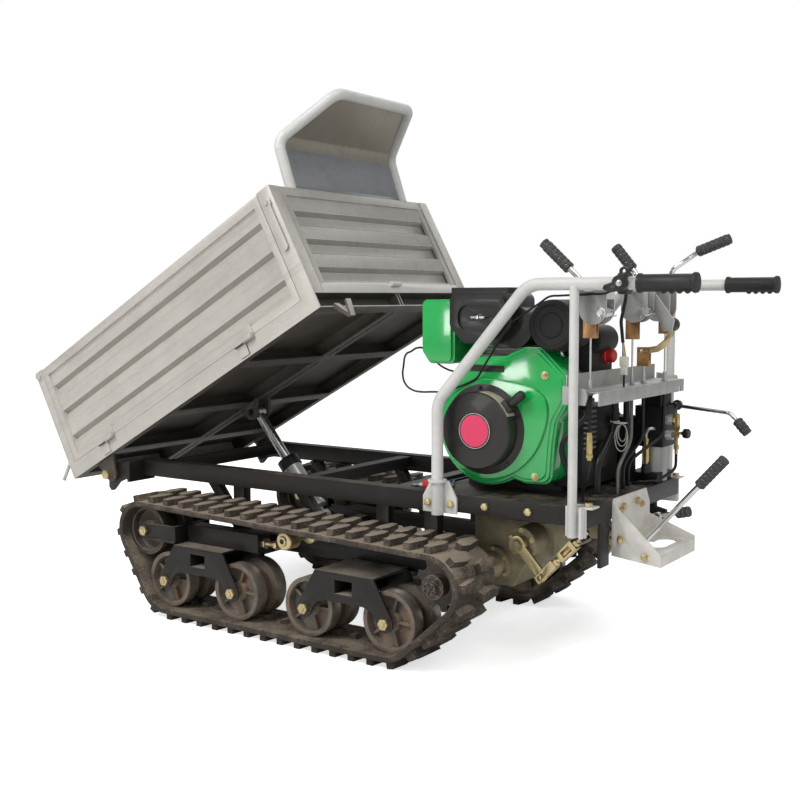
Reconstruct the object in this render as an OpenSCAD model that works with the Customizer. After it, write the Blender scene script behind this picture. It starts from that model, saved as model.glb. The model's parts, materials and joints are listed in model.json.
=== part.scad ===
// Tracked power carrier: tipping load bed, twin rubber tracks, single-cylinder engine and operator controls.
// Millimetres, +Z up, +X towards the operator, ground at z = 0, the near (left) side at -Y.

/* [Display] */
// Sub-part to draw, or all of them

/* [Tracks] */
// Distance between the two track centre planes
track_gauge = 700; // [600:1:800]
// Width of one rubber track
track_w = 180; // [140:1:220]
// Thickness of the rubber carcass
belt_t = 14; // [10:1:20]
// Height of the ground lugs
lug_h = 18; // [12:1:24]
// Lugs in each of the two staggered rows
lug_count = 44; // [36:1:52]
// Height of the inner guide horns
horn_h = 12; // [8:1:13]
// Running gap between a wheel and the carcass
run_gap = 0.8; // [0.5:0.1:1.5]
// Sprocket axle, distance along X
sprocket_x = 470; // [440:1:500]
// Sprocket axle height
sprocket_z = 222; // [205:1:240]
// Carcass inner radius round the sprocket
sprocket_wrap = 71; // [64:1:78]
// Idler axle, distance along X
idler_x = -530; // [-545:1:-515]
// Idler axle height
idler_z = 246; // [235:1:255]
// Carcass inner radius round the idler
idler_wrap = 73; // [66:1:78]
// Radius of the bottom rollers
roller_r = 79.2; // [72:0.1:84]
// Spacing of the bottom rollers
roller_pitch = 258; // [240:1:270]
// First bottom roller, distance along X
roller_x0 = -439; // [-450:1:-425]
// Carrier roller, distance along X
carrier_x = 4; // [-40:1:40]
// Carrier roller radius
carrier_r = 25; // [20:1:28]
// Axle radius of the bottom rollers and idlers
axle_r = 10; // [8:0.5:12]

/* [Chassis] */
// Centre plane of each chassis rail
rail_y = 262; // [250:1:270]
// Width of a chassis rail
rail_w = 40; // [30:1:50]
// Height of a chassis rail
rail_h = 50; // [40:1:60]
// Top face of the engine deck
deck_top = 429; // [420:1:440]
// Front edge of the engine deck
deck_x0 = 342; // [330:1:360]
// Rear face of the engine deck
deck_x1 = 814; // [800:1:830]
// Half width of the engine deck
deck_half = 285; // [280:1:290]
// Depth of the deck side members
deck_d = 45; // [40:1:55]

/* [Load bed] */
// Length of the bed
bed_len = 1126; // [1080:1:1160]
// Half width of the bed
bed_half = 377; // [372:1:384]
// Height of the corner posts above the underside
bed_h = 366; // [340:1:380]
// Tip angle in the drawn pose
bed_tilt = 28.5; // [20:0.5:30]
// Hinge axis, distance along X
hinge_x = -745; // [-755:1:-735]
// Hinge axis height
hinge_z = 385; // [382:1:390]
// Hinge axis, distance from the dump end
hinge_u = 140; // [130:1:150]
// Bed underside above the hinge axis when lowered
hinge_drop = 46; // [44:1:50]
// Height of the bed skirt
skirt_h = 42; // [38:1:48]
// Bed floor thickness
floor_t = 3; // [2:0.5:5]
// Raise of the floor panel between the sides
floor_up = 1.5; // [1:0.5:3]
// Depth of the panel corrugations
groove_d = 12; // [8:1:16]
// Sheet thickness of the panels
sheet_t = 2.5; // [2:0.5:4]
// Radius of the head guard tube
guard_r = 15; // [12:0.5:18]

/* [Lift cylinder] */
// Cylinder foot pin, distance along X
foot_x = -205; // [-215:1:-195]
// Cylinder foot pin height
foot_z = 255; // [250:1:262]
// Cylinder head pin, distance from the dump end of the bed
head_u = 475; // [460:1:485]
// Cylinder head pin below the bed underside
head_w = 26; // [22:1:30]
// Barrel radius
barrel_r = 30; // [26:1:34]
// Barrel length from the foot pin
barrel_len = 214; // [205:1:220]
// Rod radius
rod_r = 15; // [12:0.5:18]

/* [Handlebar] */
// Centre plane of each handlebar tube
bar_y = 292; // [290:1:300]
// Handlebar tube radius
bar_r = 15; // [12:0.5:18]
// Height of the handlebar
bar_z = 950; // [920:1:980]
// Front post, distance along X
front_x = 409; // [400:1:420]
// Rear post, distance along X
post_x = 780; // [770:1:800]
// Rear post radius
post_r = 11; // [9:0.5:14]
// Height where the front post bends back
bend_z = 660; // [640:1:680]
// Start of the hand grips
grip_x0 = 934; // [920:1:950]
// Hand grip length
grip_len = 134; // [110:1:140]
// Pivot height of the control levers
lever_z = 884; // [876:1:890]
// Height of the cable shelf
shelf_z = 700; // [690:1:710]
// Centre of the cable shelf, distance along X
shelf_x = 795; // [790:1:800]

/* [Engine] */
// Crankshaft axis, distance along X
crank_x = 498; // [485:1:510]
// Crankshaft axis height
crank_z = 590; // [585:1:600]
// Radius of the flywheel shroud
shroud_r = 143; // [135:1:146]
// Near face of the flywheel shroud
shroud_y = -215; // [-220:1:-210]
// Recoil cover radius
recoil_r = 104; // [96:1:110]
// Muffler radius
muffler_r = 62; // [56:1:66]

/* [Fits] */
// Radial fit of a turning shaft or pin
fit = 0.06; // [0.03:0.01:0.10]
// Flat clearance between moving pieces
slip = 1; // [0.6:0.1:2]

/* [Hidden] */
$fn = 48;

track_y = track_gauge / 2;
roller_z = lug_h + belt_t + run_gap + roller_r;
roller_wrap = roller_r + run_gap;
roller_xs = [for (i = [0 : 3]) roller_x0 + i * roller_pitch];
bogie_xs = [(roller_xs[0] + roller_xs[1]) / 2, (roller_xs[2] + roller_xs[3]) / 2];
rail_top = deck_top - 1;
bogie_out = track_y + 72;
bogie_in = track_y - 78;
bogie_t = 6;
bogie_top = 220;
tube_top = 206;
tube_h = 44;
tube_half = 32;
long_y0 = 216;
long_y1 = 256;
long_top = tube_top + 40;
wheel_in = track_y - 60;
wheel_out = track_y + 60;
groove_ws = [for (i = [0 : 2]) 100 + i * 86];
gate_u0 = 32;
gate_u1 = bed_len - 50;
gate_axis_y = bed_half + 9;
gate_axis_w = skirt_h + 2;
gate_hinges = [205, 852];
tail_u = 14;
tail_w = bed_h - 16;
cyl_dx = hinge_x + (head_u - hinge_u) * cos(bed_tilt) - (hinge_drop - head_w) * sin(bed_tilt) - foot_x;
cyl_dz = hinge_z + (head_u - hinge_u) * sin(bed_tilt) + (hinge_drop - head_w) * cos(bed_tilt) - foot_z;
cyl_len = norm([cyl_dx, cyl_dz]);
cyl_angle = atan2(cyl_dz, cyl_dx);
front_y = deck_half + bar_r + 0.5;
post_y = deck_half + post_r + 1;
tab_half = 34;
tab_x = 808;
tab_t = 4;
tab_gap = 44;
lever_ys = [-236, 0, 150];
crank_y = 60;
pedal_x = 872;
pedal_z = lever_z - 34;
brake_x = 585;
brake_z = 303;
brake_y = 200;
brake_ends = [653, 231];
rod_angle = 46;
grip_r = 17;
gate_z = 306;
shift_x = 830;
shift_z = 292;

// Wheel circles of the track loop, counter-clockwise from the sprocket
wheels = [
  [sprocket_x, sprocket_z, sprocket_wrap],
  [idler_x, idler_z, idler_wrap],
  [roller_xs[0], roller_z, roller_wrap],
  [roller_xs[3], roller_z, roller_wrap]
];

// Unit vector at an angle
function unit(a) = [cos(a), sin(a)];

// Centre of wheel i
function hub(i) = [wheels[i][0], wheels[i][1]];

// Outward normal of the straight run that leaves wheel i
function run_normal(i) =
  let (a = wheels[i], b = wheels[(i + 1) % 4], d = hub((i + 1) % 4) - hub(i))
    atan2(d[1], d[0]) - acos((a[2] - b[2]) / norm(d));

normals = [for (i = [0 : 3]) run_normal(i)];

// Angle at which the carcass meets wheel i
function wrap_start(i) = normals[(i + 3) % 4];

// Angle that the carcass wraps round wheel i
function wrap_angle(i) = let (s = normals[i] - wrap_start(i)) s - 360 * floor(s / 360);

// Points of one wrap, off millimetres outside the inner face
function wrap_points(i, off) =
  let (n = ceil(wrap_angle(i) / 9))
    [for (k = [0 : n]) hub(i) + (wheels[i][2] + off) * unit(wrap_start(i) + wrap_angle(i) * k / n)];

// Closed outline of the loop, off millimetres outside the inner face
function loop_points(off) = [for (i = [0 : 3]) each wrap_points(i, off)];

// Length of the straight run after wheel i
function run_length(i) =
  let (d = norm(hub((i + 1) % 4) - hub(i)), r = wheels[i][2] - wheels[(i + 1) % 4][2]) sqrt(d * d - r * r);

// Wraps and straight runs in order
legs = [for (i = [0 : 3]) each [(wheels[i][2] + belt_t / 2) * wrap_angle(i) * PI / 180, run_length(i)]];

// Length of the first n legs
function leg_sum(n) = n <= 0 ? 0 : legs[n - 1] + leg_sum(n - 1);

loop_len = leg_sum(8);

// Leg that holds the position s
function leg_at(s, n = 0) = n == 7 || s < leg_sum(n + 1) ? n : leg_at(s, n + 1);

// Position and outward normal at s along the loop
function station(s) =
  let (n = leg_at(s), i = floor(n / 2), t = s - leg_sum(n))
    n % 2 == 0
      ? let (a = wrap_start(i) + t / (wheels[i][2] + belt_t / 2) * 180 / PI) [hub(i) + wheels[i][2] * unit(a), a]
      : [hub(i) + wheels[i][2] * unit(normals[i]) + t * unit(normals[i] + 90), normals[i]];

// One groove of a corrugated panel
function groove(c, off) =
  [[off, c - 24], [off - groove_d, c - 12], [off - groove_d, c + 12], [off, c + 24]];

// Corrugated panel section: depth and height
function panel_points(w0, w1) = concat(
  [[0, w0]],
  [for (c = groove_ws) each groove(c, 0)],
  [[0, w1], [-sheet_t, w1]],
  [for (k = [len(groove_ws) - 1 : -1 : 0]) let (g = groove(groove_ws[k], -sheet_t)) each [g[3], g[2], g[1], g[0]]],
  [[-sheet_t, w0]]
);

// Vector helpers for bent pipes
function dir(a, b) = (b - a) / norm(b - a);
function turn(a, b, c) = acos(max(-1, min(1, dir(a, b) * dir(b, c))));
function cut(p, k, r) = k <= 0 || k >= len(p) - 1 ? 0 : r * tan(turn(p[k - 1], p[k], p[k + 1]) / 2);

// Corner k of a closed outline
function corner(p, k) = p[(k + len(p)) % len(p)];

// Closed counter-clockwise outline, drawn in by m
function drawn_in(p, m) = [
  for (k = [0 : len(p) - 1])
    let (
      d = dir(corner(p, k - 1), p[k]), e = dir(p[k], corner(p, k + 1)),
      n = [-d[1], d[0]], q = [-e[1], e[0]]
    )
      p[k] + (n + q) * m / (1 + n * q)
];

// Closed outline with its corners rounded
function rounded(p, r) = [
  for (k = [0 : len(p) - 1])
    let (
      a = corner(p, k - 1), b = p[k], c = corner(p, k + 1), d = dir(a, b), e = dir(b, c),
      side = d[0] * e[1] - d[1] * e[0] < 0 ? -1 : 1, bow = turn(a, b, c),
      t = min(r * tan(bow / 2), 0.45 * norm(b - a), 0.45 * norm(c - b)), q = t / tan(bow / 2),
      centre = b - d * t + side * q * [-d[1], d[0]], s = atan2(d[1], d[0]) - 90 * side, n = ceil(bow / 12)
    )
      each [for (j = [0 : n]) centre + q * unit(s + side * bow * j / n)]
];

// Box between two corners
module box(lo, hi) {
  translate(lo) cube(hi - lo);
}

// Plate in the XZ plane, from y0 outwards by t
module plate_y(y0, t) {
  translate([0, y0 + t, 0]) rotate([90, 0, 0]) linear_extrude(t) children();
}

// Plate in the YZ plane, from x0 outwards by t
module plate_x(x0, t) {
  translate([x0, 0, 0]) rotate([90, 0, 90]) linear_extrude(t) children();
}

// Round bar along Y
module bar_along_y(x, z, r, y0, y1) {
  translate([x, y0, z]) rotate([-90, 0, 0]) cylinder(r = r, h = y1 - y0);
}

// Round bar along X
module bar_along_x(y, z, r, x0, x1) {
  translate([x0, y, z]) rotate([0, 90, 0]) cylinder(r = r, h = x1 - x0);
}

// Round bar between two points, with its seam turned out of the plane of any bend
module bar_between(a, b, r) {
  d = b - a;
  translate(a) rotate([0, acos(d[2] / norm(d)), atan2(d[1], d[0])]) rotate(37) cylinder(r = r, h = norm(d));
}

// Hexagon bolt head or nut along Y
module hex_y(x, z, s, y0, y1) {
  translate([x, y0, z]) rotate([-90, 0, 0]) cylinder(r = s / sqrt(3), h = y1 - y0, $fn = 6);
}

// Hexagon bolt head or nut along X
module hex_x(y, z, s, x0, x1) {
  translate([x0, y, z]) rotate([0, 90, 0]) cylinder(r = s / sqrt(3), h = x1 - x0, $fn = 6);
}

// Hexagon bolt head or nut along Z
module hex_z(x, y, s, z0, z1) {
  translate([x, y, z0]) cylinder(r = s / sqrt(3), h = z1 - z0, $fn = 6);
}

// Rectangle with rounded corners
module round_rect(x0, y0, x1, y1, r) {
  union() {
    translate([x0 + r, y0]) square([x1 - x0 - 2 * r, y1 - y0]);
    translate([x0, y0 + r]) square([x1 - x0, y1 - y0 - 2 * r]);
    for (x = [x0 + r, x1 - r], y = [y0 + r, y1 - r]) translate([x, y]) circle(r);
  }
}

// Turned part about Y: profile of radius and offset
module turned_y(x, y, z) {
  translate([x, y, z]) rotate([-90, 0, 0]) rotate_extrude() children();
}

// Bent pipe through points with one bend radius; each bend swells by a hair over the straights it takes in
module pipe(p, r, bend) {
  lap = 1.2;
  for (k = [0 : len(p) - 2]) {
    d = dir(p[k], p[k + 1]);
    a = k == 0 ? 0 : cut(p, k, bend) - lap;
    b = k == len(p) - 2 ? 0 : cut(p, k + 1, bend) - lap;
    bar_between(p[k] + d * a, p[k + 1] - d * b, r);
  }
  for (k = [1 : max(1, len(p) - 2)]) {
    if (k < len(p) - 1) {
      pipe_bend(p[k - 1], p[k], p[k + 1], r, bend);
    }
  }
}

// One bend of a pipe
module pipe_bend(a, b, c, r, bend) {
  d = dir(a, b);
  e = dir(b, c);
  side = (e - d * (d * e)) / norm(e - d * (d * e));
  axis = cross(d, side);
  centre = b - d * bend * tan(turn(a, b, c) / 2) + side * bend;
  multmatrix([
    [-side[0], d[0], axis[0], centre[0]],
    [-side[1], d[1], axis[1], centre[1]],
    [-side[2], d[2], axis[2], centre[2]]
  ])
    rotate_extrude(angle = turn(a, b, c)) translate([bend, 0]) circle(r + 0.15);
}

// Children on both sides of the machine
module both_sides() {
  children();
  mirror([0, 1, 0]) children();
}

// Children on one side: -1 keeps the left, 1 mirrors to the right
module on_side(side) {
  if (side < 0) {
    children();
  } else {
    mirror([0, 1, 0]) children();
  }
}

// Place the children in the tipped bed: x along the floor, z square to it
module in_bed() {
  translate([hinge_x, 0, hinge_z]) rotate([0, -bed_tilt, 0]) translate([-hinge_u, 0, hinge_drop]) children();
}

// Place the children at a station of the track loop: x outwards, z along the run
module on_track(s) {
  p = station(s);
  translate([p[0][0], -track_y, p[0][1]]) rotate([0, -p[1], 0]) children();
}

// Ground lug, one of two staggered rows
module lug(flip) {
  plate_x(belt_t - 5, lug_h + 5)
    scale([flip, 1])
      polygon([[5, -12], [30, -17], [82, -9], [82, 10], [34, 17], [5, 9]]);
}

// Guide horn inside the carcass
module horn() {
  plate_y(-13, 26) polygon([[3, -14], [-horn_h, -7], [-horn_h, 7], [3, 14]]);
}

// Rubber track on one side
module track(side) {
  pitch = loop_len / lug_count;
  color([0.17, 0.16, 0.15]) on_side(side) union() {
    plate_y(-track_y - track_w / 2, track_w) difference() {
      polygon(loop_points(belt_t));
      polygon(loop_points(0));
    }
    for (k = [0 : lug_count - 1]) {
      on_track((k + 0.25) * pitch) lug(-1);
      on_track((k + 0.75) * pitch) lug(1);
      on_track((k + 0.5) * pitch) horn();
    }
  }
}

module track_left() {
  track(-1);
}

module track_right() {
  track(1);
}

// Flanged wheel on both sides of the guide horns
module spool_profile(rim, bore) {
  half = (wheel_out - wheel_in) / 2;
  polygon([
    [bore, -half + 8], [26, -half + 8], [30, -half + 22], [rim - 16, -half + 22], [rim - 12, -half],
    [rim, -half], [rim, -22], [rim - 18, -18], [rim - 18, 18], [rim, 22], [rim, half],
    [rim - 12, half], [rim - 16, half - 22], [30, half - 22], [26, half - 8], [bore, half - 8]
  ]);
}

// Bottom roller with stiffening ribs
module roller(side, k) {
  half = (wheel_out - wheel_in) / 2;
  color([0.42, 0.37, 0.32]) on_side(side) translate([roller_xs[k - 1], -track_y, roller_z]) union() {
    turned_y(0, 0, 0) spool_profile(roller_r, axle_r + fit);
    for (a = [0 : 72 : 288], s = [-1, 1]) {
      rotate([0, a, 0])
        translate([27, s * (half - 14) - 5, -3]) cube([roller_r - 41, 10, 6]);
    }
  }
}

module roller_left_1() {
  roller(-1, 1);
}

module roller_left_2() {
  roller(-1, 2);
}

module roller_left_3() {
  roller(-1, 3);
}

module roller_left_4() {
  roller(-1, 4);
}

module roller_right_1() {
  roller(1, 1);
}

module roller_right_2() {
  roller(1, 2);
}

module roller_right_3() {
  roller(1, 3);
}

module roller_right_4() {
  roller(1, 4);
}

// Front idler wheel
module idler(side) {
  color([0.2, 0.19, 0.18]) on_side(side)
    turned_y(idler_x, -track_y, idler_z) spool_profile(idler_wrap - run_gap, axle_r + fit);
}

module idler_left() {
  idler(-1);
}

module idler_right() {
  idler(1);
}

// Drive sprocket: two toothed plates that straddle the horns, a hub and the half shaft
module sprocket(side) {
  tip = sprocket_wrap - 2;
  teeth = 9;
  color([0.25, 0.24, 0.23]) on_side(side) translate([sprocket_x, -track_y, sprocket_z]) union() {
    for (y = [-34, 18]) {
      plate_y(y, 16) union() {
        circle(tip - 16);
        for (k = [0 : teeth - 1]) {
          rotate(k * 360 / teeth)
            polygon([[tip - 24, -13], [tip - 1.5, -7], [tip - 1.5, 7], [tip - 24, 13]]);
        }
      }
    }
    turned_y(0, 0, 0)
      polygon([[0, -84], [15, -84], [15, -66], [30, -66], [30, -34], [38, -34], [38, 34], [24, 34],
               [24, 84], [15, 84], [15, track_y - 116], [0, track_y - 116]]);
    for (k = [0 : 5]) {
      rotate([0, k * 60, 0]) translate([22, -69, 0]) rotate([-90, 0, 0]) cylinder(r = 4, h = 6);
    }
  }
}

module sprocket_left() {
  sprocket(-1);
}

module sprocket_right() {
  sprocket(1);
}

// Small roller that carries the top run
module carrier_roller(side) {
  color([0.72, 0.66, 0.5]) on_side(side)
    turned_y(carrier_x, -track_y, carrier_height())
      polygon([
        [7 + fit, -80], [12, -80], [14, -74], [carrier_r - 4, -74], [carrier_r, -70], [carrier_r, -30],
        [10.5, -26], [10.5, 26], [carrier_r, 30], [carrier_r, 60], [7 + fit, 60]
      ]);
}

// Height of the carrier axle under the straight top run
function carrier_height() =
  let (n = normals[0], p = hub(0) + sprocket_wrap * unit(n), t = (p[0] - carrier_x) / sin(n))
    p[1] + t * cos(n) - (carrier_r + run_gap) / sin(n);

module carrier_roller_left() {
  carrier_roller(-1);
}

module carrier_roller_right() {
  carrier_roller(1);
}

// Bogie side plate outline, about its own centre
module bogie_outline() {
  half = roller_pitch / 2;
  difference() {
    union() {
      polygon([
        [-93, bogie_top], [93, bogie_top], [half + 20, roller_z + 14], [half, roller_z - 23],
        [half - 24, roller_z], [-half + 24, roller_z], [-half, roller_z - 23], [-half - 20, roller_z + 14]
      ]);
      for (s = [-1, 1]) translate([s * half, roller_z]) circle(24);
    }
    polygon([
      [-half + 22, roller_z - 30], [-half + 27, roller_z + 6], [-half + 42, roller_z + 24],
      [-half + 66, roller_z + 32], [half - 66, roller_z + 32], [half - 42, roller_z + 24],
      [half - 27, roller_z + 6], [half - 22, roller_z - 30]
    ]);
    for (s = [-1, 1]) translate([s * half, roller_z]) circle(axle_r + fit);
    translate([-tube_half, tube_top - tube_h]) square([2 * tube_half, tube_h]);
  }
}

// Bogies, cross tubes, lower longitudinals, tension housings and braces
module track_frame() {
  color([0.09, 0.085, 0.08]) difference() {
    union() {
      for (x = bogie_xs) {
        box([x - tube_half, -bogie_out - bogie_t, tube_top - tube_h], [x + tube_half, bogie_out + bogie_t, tube_top]);
      }
      both_sides() track_frame_side();
      box([foot_x - 20, -long_y0, tube_top - 12], [foot_x + 20, long_y0, tube_top + 20]);
      for (s = [-1, 1]) {
        plate_y(s > 0 ? 31 : -39, 8) union() {
          translate([foot_x, foot_z]) circle(20);
          translate([foot_x - 20, tube_top + 10]) square([40, foot_z - tube_top - 10]);
        }
      }
      bar_along_y(foot_x, foot_z, axle_r, -44, 44);
    }
    for (x = bogie_xs) {
      box([x - tube_half + 4, -bogie_out - 20, tube_top - tube_h + 4], [x + tube_half - 4, bogie_out + 20, tube_top - 4]);
    }
  }
}

// Left half of the track frame
module track_frame_side() {
  for (x = bogie_xs) {
    for (y = [-bogie_out - bogie_t, -bogie_in - bogie_t]) {
      plate_y(y, bogie_t) translate([x, 0]) bogie_outline();
    }
    box([x - 93, -bogie_out, bogie_top - 6], [x + 93, -bogie_in, bogie_top]);
    box([x - 93, -bogie_in, tube_top - 8], [x + 93, -long_y0 - 4, tube_top]);
  }
  difference() {
    box([bogie_xs[0] - 30, -long_y1, tube_top], [395, -long_y0, long_top]);
    box([bogie_xs[0] - 40, -long_y1 + 4, tube_top + 4], [400, -long_y0 - 4, long_top - 4]);
  }
  for (x = concat(bogie_xs, [360])) {
    box([x - 20, -long_y1, long_top - 4], [x + 20, -long_y1 + 30, rail_top - rail_h]);
  }
  for (x = [-440, -100]) {
    plate_y(-long_y1 + 4, 24)
      polygon([[x, rail_top - rail_h], [x + 40, rail_top - rail_h], [x + 150, long_top - 4], [x + 110, long_top - 4]]);
  }
  difference() {
    box([-395, -track_y - 25, bogie_top], [-130, -track_y + 25, bogie_top + 50]);
    box([-400, -track_y - 21, bogie_top + 4], [-140, -track_y + 21, bogie_top + 46]);
    bar_along_x(-track_y, bogie_top + 25, 8 + fit, -145, -120);
  }
  plate_y(-long_y1, 8) translate([carrier_x - 20, long_top - 4]) square([40, carrier_height() - long_top + 16]);
  bar_along_y(carrier_x, carrier_height(), 7, -track_y - 80, -long_y1 + 2);
}

// Idler forks with their stems in the tension housings
module idler_yokes() {
  color([0.1, 0.095, 0.09]) both_sides() union() {
    for (y = [-wheel_out - 10, -wheel_in + 4]) {
      plate_y(y, 6) difference() {
        union() {
          translate([idler_x, idler_z]) circle(24);
          translate([idler_x, idler_z - 24]) square([-405 - idler_x, 48]);
        }
        translate([idler_x, idler_z]) circle(axle_r + fit);
      }
    }
    box([-417, -wheel_out - 4, idler_z - 24], [-405, -wheel_in + 4, idler_z + 24]);
    for (z = [idler_z - 24, idler_z + 20]) {
      box([idler_x + 10, -wheel_out - 16, z], [-405, -wheel_out - 10, z + 4]);
    }
    box([-405, -track_y - 20, bogie_top + 5], [-200, -track_y + 20, bogie_top + 45]);
  }
}

// Bolts, axles, nuts and adjusters
module fasteners() {
  color([0.78, 0.72, 0.5]) both_sides() {
    for (x = roller_xs) {
      wheel_axle(x, roller_z, bogie_out + bogie_t, bogie_in);
    }
    wheel_axle(idler_x, idler_z, wheel_out + 10, wheel_in - 10);
    tension_screw();
    hinge_bolt();
    post_bolts();
  }
  color([0.78, 0.72, 0.5]) for (p = [[-96, 408], [-10, 410]]) {
    hex_x(p[0], p[1], 16, deck_x1 + 4, deck_x1 + 13);
  }
  color([0.78, 0.72, 0.5]) for (x = [540, 660]) {
    hex_y(x, deck_top - 22, 17, -deck_half - 9, -deck_half);
  }
}

// Axle with a nut at each end, left side
module wheel_axle(x, z, y_out, y_in) {
  bar_along_y(x, z, axle_r, -y_out, -y_in);
  hex_y(x, z, 26, -y_out - 10, -y_out);
  bar_along_y(x, z, axle_r - 3, -y_out - 13, -y_out - 10);
  hex_y(x, z, 26, -y_in, -y_in + 8);
}

// Track tension screw, left side
module tension_screw() {
  bar_along_x(-track_y, bogie_top + 25, 8, -199, -88);
  hex_x(-track_y, bogie_top + 25, 26, -130, -118);
  hex_x(-track_y, bogie_top + 25, 24, -88, -76);
}

// Bolt that carries the bed, left side
module hinge_bolt() {
  bar_along_y(hinge_x, hinge_z, axle_r, -372, -330);
  hex_y(hinge_x, hinge_z, 26, -380, -372);
  hex_y(hinge_x, hinge_z, 26, -330, -318);
}

// Bolts of the handlebar brackets, left side
module post_bolts() {
  for (x = [front_x - 34, front_x + 34]) {
    hex_y(x, deck_top - 25, 17, -deck_half - 14, -deck_half - 6);
  }
  hex_z(post_x + 31, -deck_half + 12, 17, deck_top + 4, deck_top + 13);
}

// Upper chassis: rails, cross members, bed hinge plates and the engine deck
module main_frame() {
  color([0.085, 0.085, 0.085]) difference() {
    union() {
      both_sides() main_frame_side();
      for (x = [-600, -60, 250]) {
        box([x - 20, -rail_y, rail_top - 36], [x + 20, rail_y, rail_top - 4]);
      }
      box([deck_x0, -deck_half, deck_top - 4], [deck_x1, deck_half, deck_top]);
      box([deck_x0, -deck_half, deck_top - deck_d], [deck_x0 + 30, deck_half, deck_top]);
      box([deck_x1 - 5, -deck_half, deck_top - deck_d], [deck_x1, deck_half, deck_top]);
      box([560, -deck_half, deck_top - deck_d], [590, deck_half, deck_top]);
      box([deck_x1 - 14, -200, 271], [deck_x1 - 5, -152, deck_top - 4]);
      plate_y(128, 10) polygon([
        [deck_x1 - 34, deck_top - 10], [deck_x1, deck_top - 10], [deck_x1, 372], [842, 366], [842, 338], [deck_x1 - 34, 350]
      ]);
      bar_along_y(828, 352, 6, 92, 130);
    }
    box([380, 116, deck_top - 60], [550, 193, deck_top + 10]);
  }
}

// Left half of the upper chassis
module main_frame_side() {
  box([hinge_x + 60, -rail_y - rail_w / 2, rail_top - rail_h], [deck_x0 + 10, -rail_y + rail_w / 2, rail_top]);
  box([deck_x0, -deck_half, deck_top - deck_d], [deck_x1, -deck_half + 6, deck_top]);
  box([deck_x0, -deck_half, deck_top - deck_d], [deck_x1, -deck_half + 36, deck_top - deck_d + 5]);
  box([hinge_x + 60, -345, rail_top - rail_h - 14], [hinge_x + 70, -rail_y + rail_w / 2, rail_top - 2]);
  rod_guide();
  plate_y(-345, 8) difference() {
    polygon([
      [hinge_x + 70, rail_top - 2], [hinge_x - 6, rail_top - 10], [hinge_x - 22, hinge_z + 8],
      [hinge_x - 22, hinge_z - 44], [hinge_x - 12, hinge_z - 54], [hinge_x - 2, hinge_z - 52],
      [hinge_x + 26, hinge_z - 24], [hinge_x + 52, hinge_z - 14], [hinge_x + 70, hinge_z - 12]
    ]);
    translate([hinge_x, hinge_z]) circle(axle_r + fit);
  }
}

// Guide that a brake rod slides in, left side
module rod_guide() {
  plate_y(-brake_y - 17, 6) translate([752, 340]) square([20, deck_top - 342]);
  translate([brake_ends[0], -brake_y, brake_ends[1]]) rotate([0, -rod_angle, 0]) difference() {
    box([151, -13, -13], [165, 13, 13]);
    bar_along_x(0, 0, 6.6, 140, 180);
  }
}

// Bed: skirts, cross members, floor, posts, hinge lugs and cylinder clevis
module bed_frame() {
  color([0.74, 0.73, 0.7]) in_bed() union() {
    box([0, -bed_half, skirt_h], [bed_len, bed_half, skirt_h + floor_t]);
    box([gate_u0 + 2, -bed_half + 34, skirt_h + 1], [gate_u1 - 2, bed_half - 34, skirt_h + floor_t + floor_up]);
    both_sides() bed_side();
    for (u = [0, 185, 770, bed_len - 40]) {
      bed_cross_member(u);
    }
    bed_cross_member(head_u - 20);
    for (y = [-27, 5]) {
      box([3, y, 0], [bed_len - 3, y + 22, 3]);
    }
    for (y = [-8, 5]) {
      box([3, y, 0], [bed_len - 3, y + 3, skirt_h]);
    }
    for (y = [-34, 24]) {
      plate_y(y, 10) difference() {
        union() {
          translate([head_u, -head_w]) circle(24);
          polygon([[head_u - 24, -head_w], [head_u + 24, -head_w], [head_u + 42, 4], [head_u - 42, 4]]);
        }
        translate([head_u, -head_w]) circle(11);
      }
    }
    bed_hook();
  }
}

// Cross member under the floor: web and lower flange
module bed_cross_member(u) {
  box([u, -bed_half + 2, 0], [u + 3, bed_half - 2, skirt_h + 1]);
  box([u, -bed_half + 2, 0], [u + 40, bed_half - 2, 3]);
}

// Left half of the bed frame
module bed_side() {
  box([0, -bed_half, 0], [bed_len, -bed_half + 3, skirt_h + 1]);
  box([0, -bed_half, 0], [bed_len, -bed_half + 26, 3]);
  box([0, -bed_half, 0], [30, -bed_half + 30, bed_h]);
  difference() {
    box([bed_len - 48, -bed_half, skirt_h], [bed_len, -bed_half + 40, bed_h]);
    box([bed_len - 60, -bed_half + 5, skirt_h + floor_t], [bed_len - 5, -bed_half + 60, bed_h + 10]);
  }
  plate_y(-357, 10) difference() {
    union() {
      translate([hinge_u, -hinge_drop]) circle(22);
      polygon([[hinge_u - 22, -hinge_drop], [hinge_u + 22, -hinge_drop], [hinge_u + 40, 2], [hinge_u - 40, 2]]);
    }
    translate([hinge_u, -hinge_drop]) circle(axle_r + fit);
  }
  for (h = gate_hinges) {
    bar_along_x(-gate_axis_y, gate_axis_w, 8, h - 36, h - 1);
    bar_along_x(-gate_axis_y, gate_axis_w, 4, h - 2, h + 38);
    box([h - 36, -bed_half - 4, 6], [h - 1, -bed_half, gate_axis_w + 2]);
  }
  bar_along_y(tail_u, tail_w, 6, -bed_half - 6, -bed_half + 46);
  hex_y(tail_u, tail_w, 20, -bed_half - 8, -bed_half);
  bar_along_y(bed_len - 24, 322, 6, -bed_half - 12, -bed_half + 2);
}

// Stay hook under the engine end of the bed
module bed_hook() {
  plate_y(-322, 20)
    polygon([[bed_len - 4, 2], [bed_len + 30, -46], [bed_len + 40, -46], [bed_len + 46, 0], [bed_len + 40, 0],
             [bed_len + 34, -34], [bed_len + 6, 8]]);
}

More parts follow.
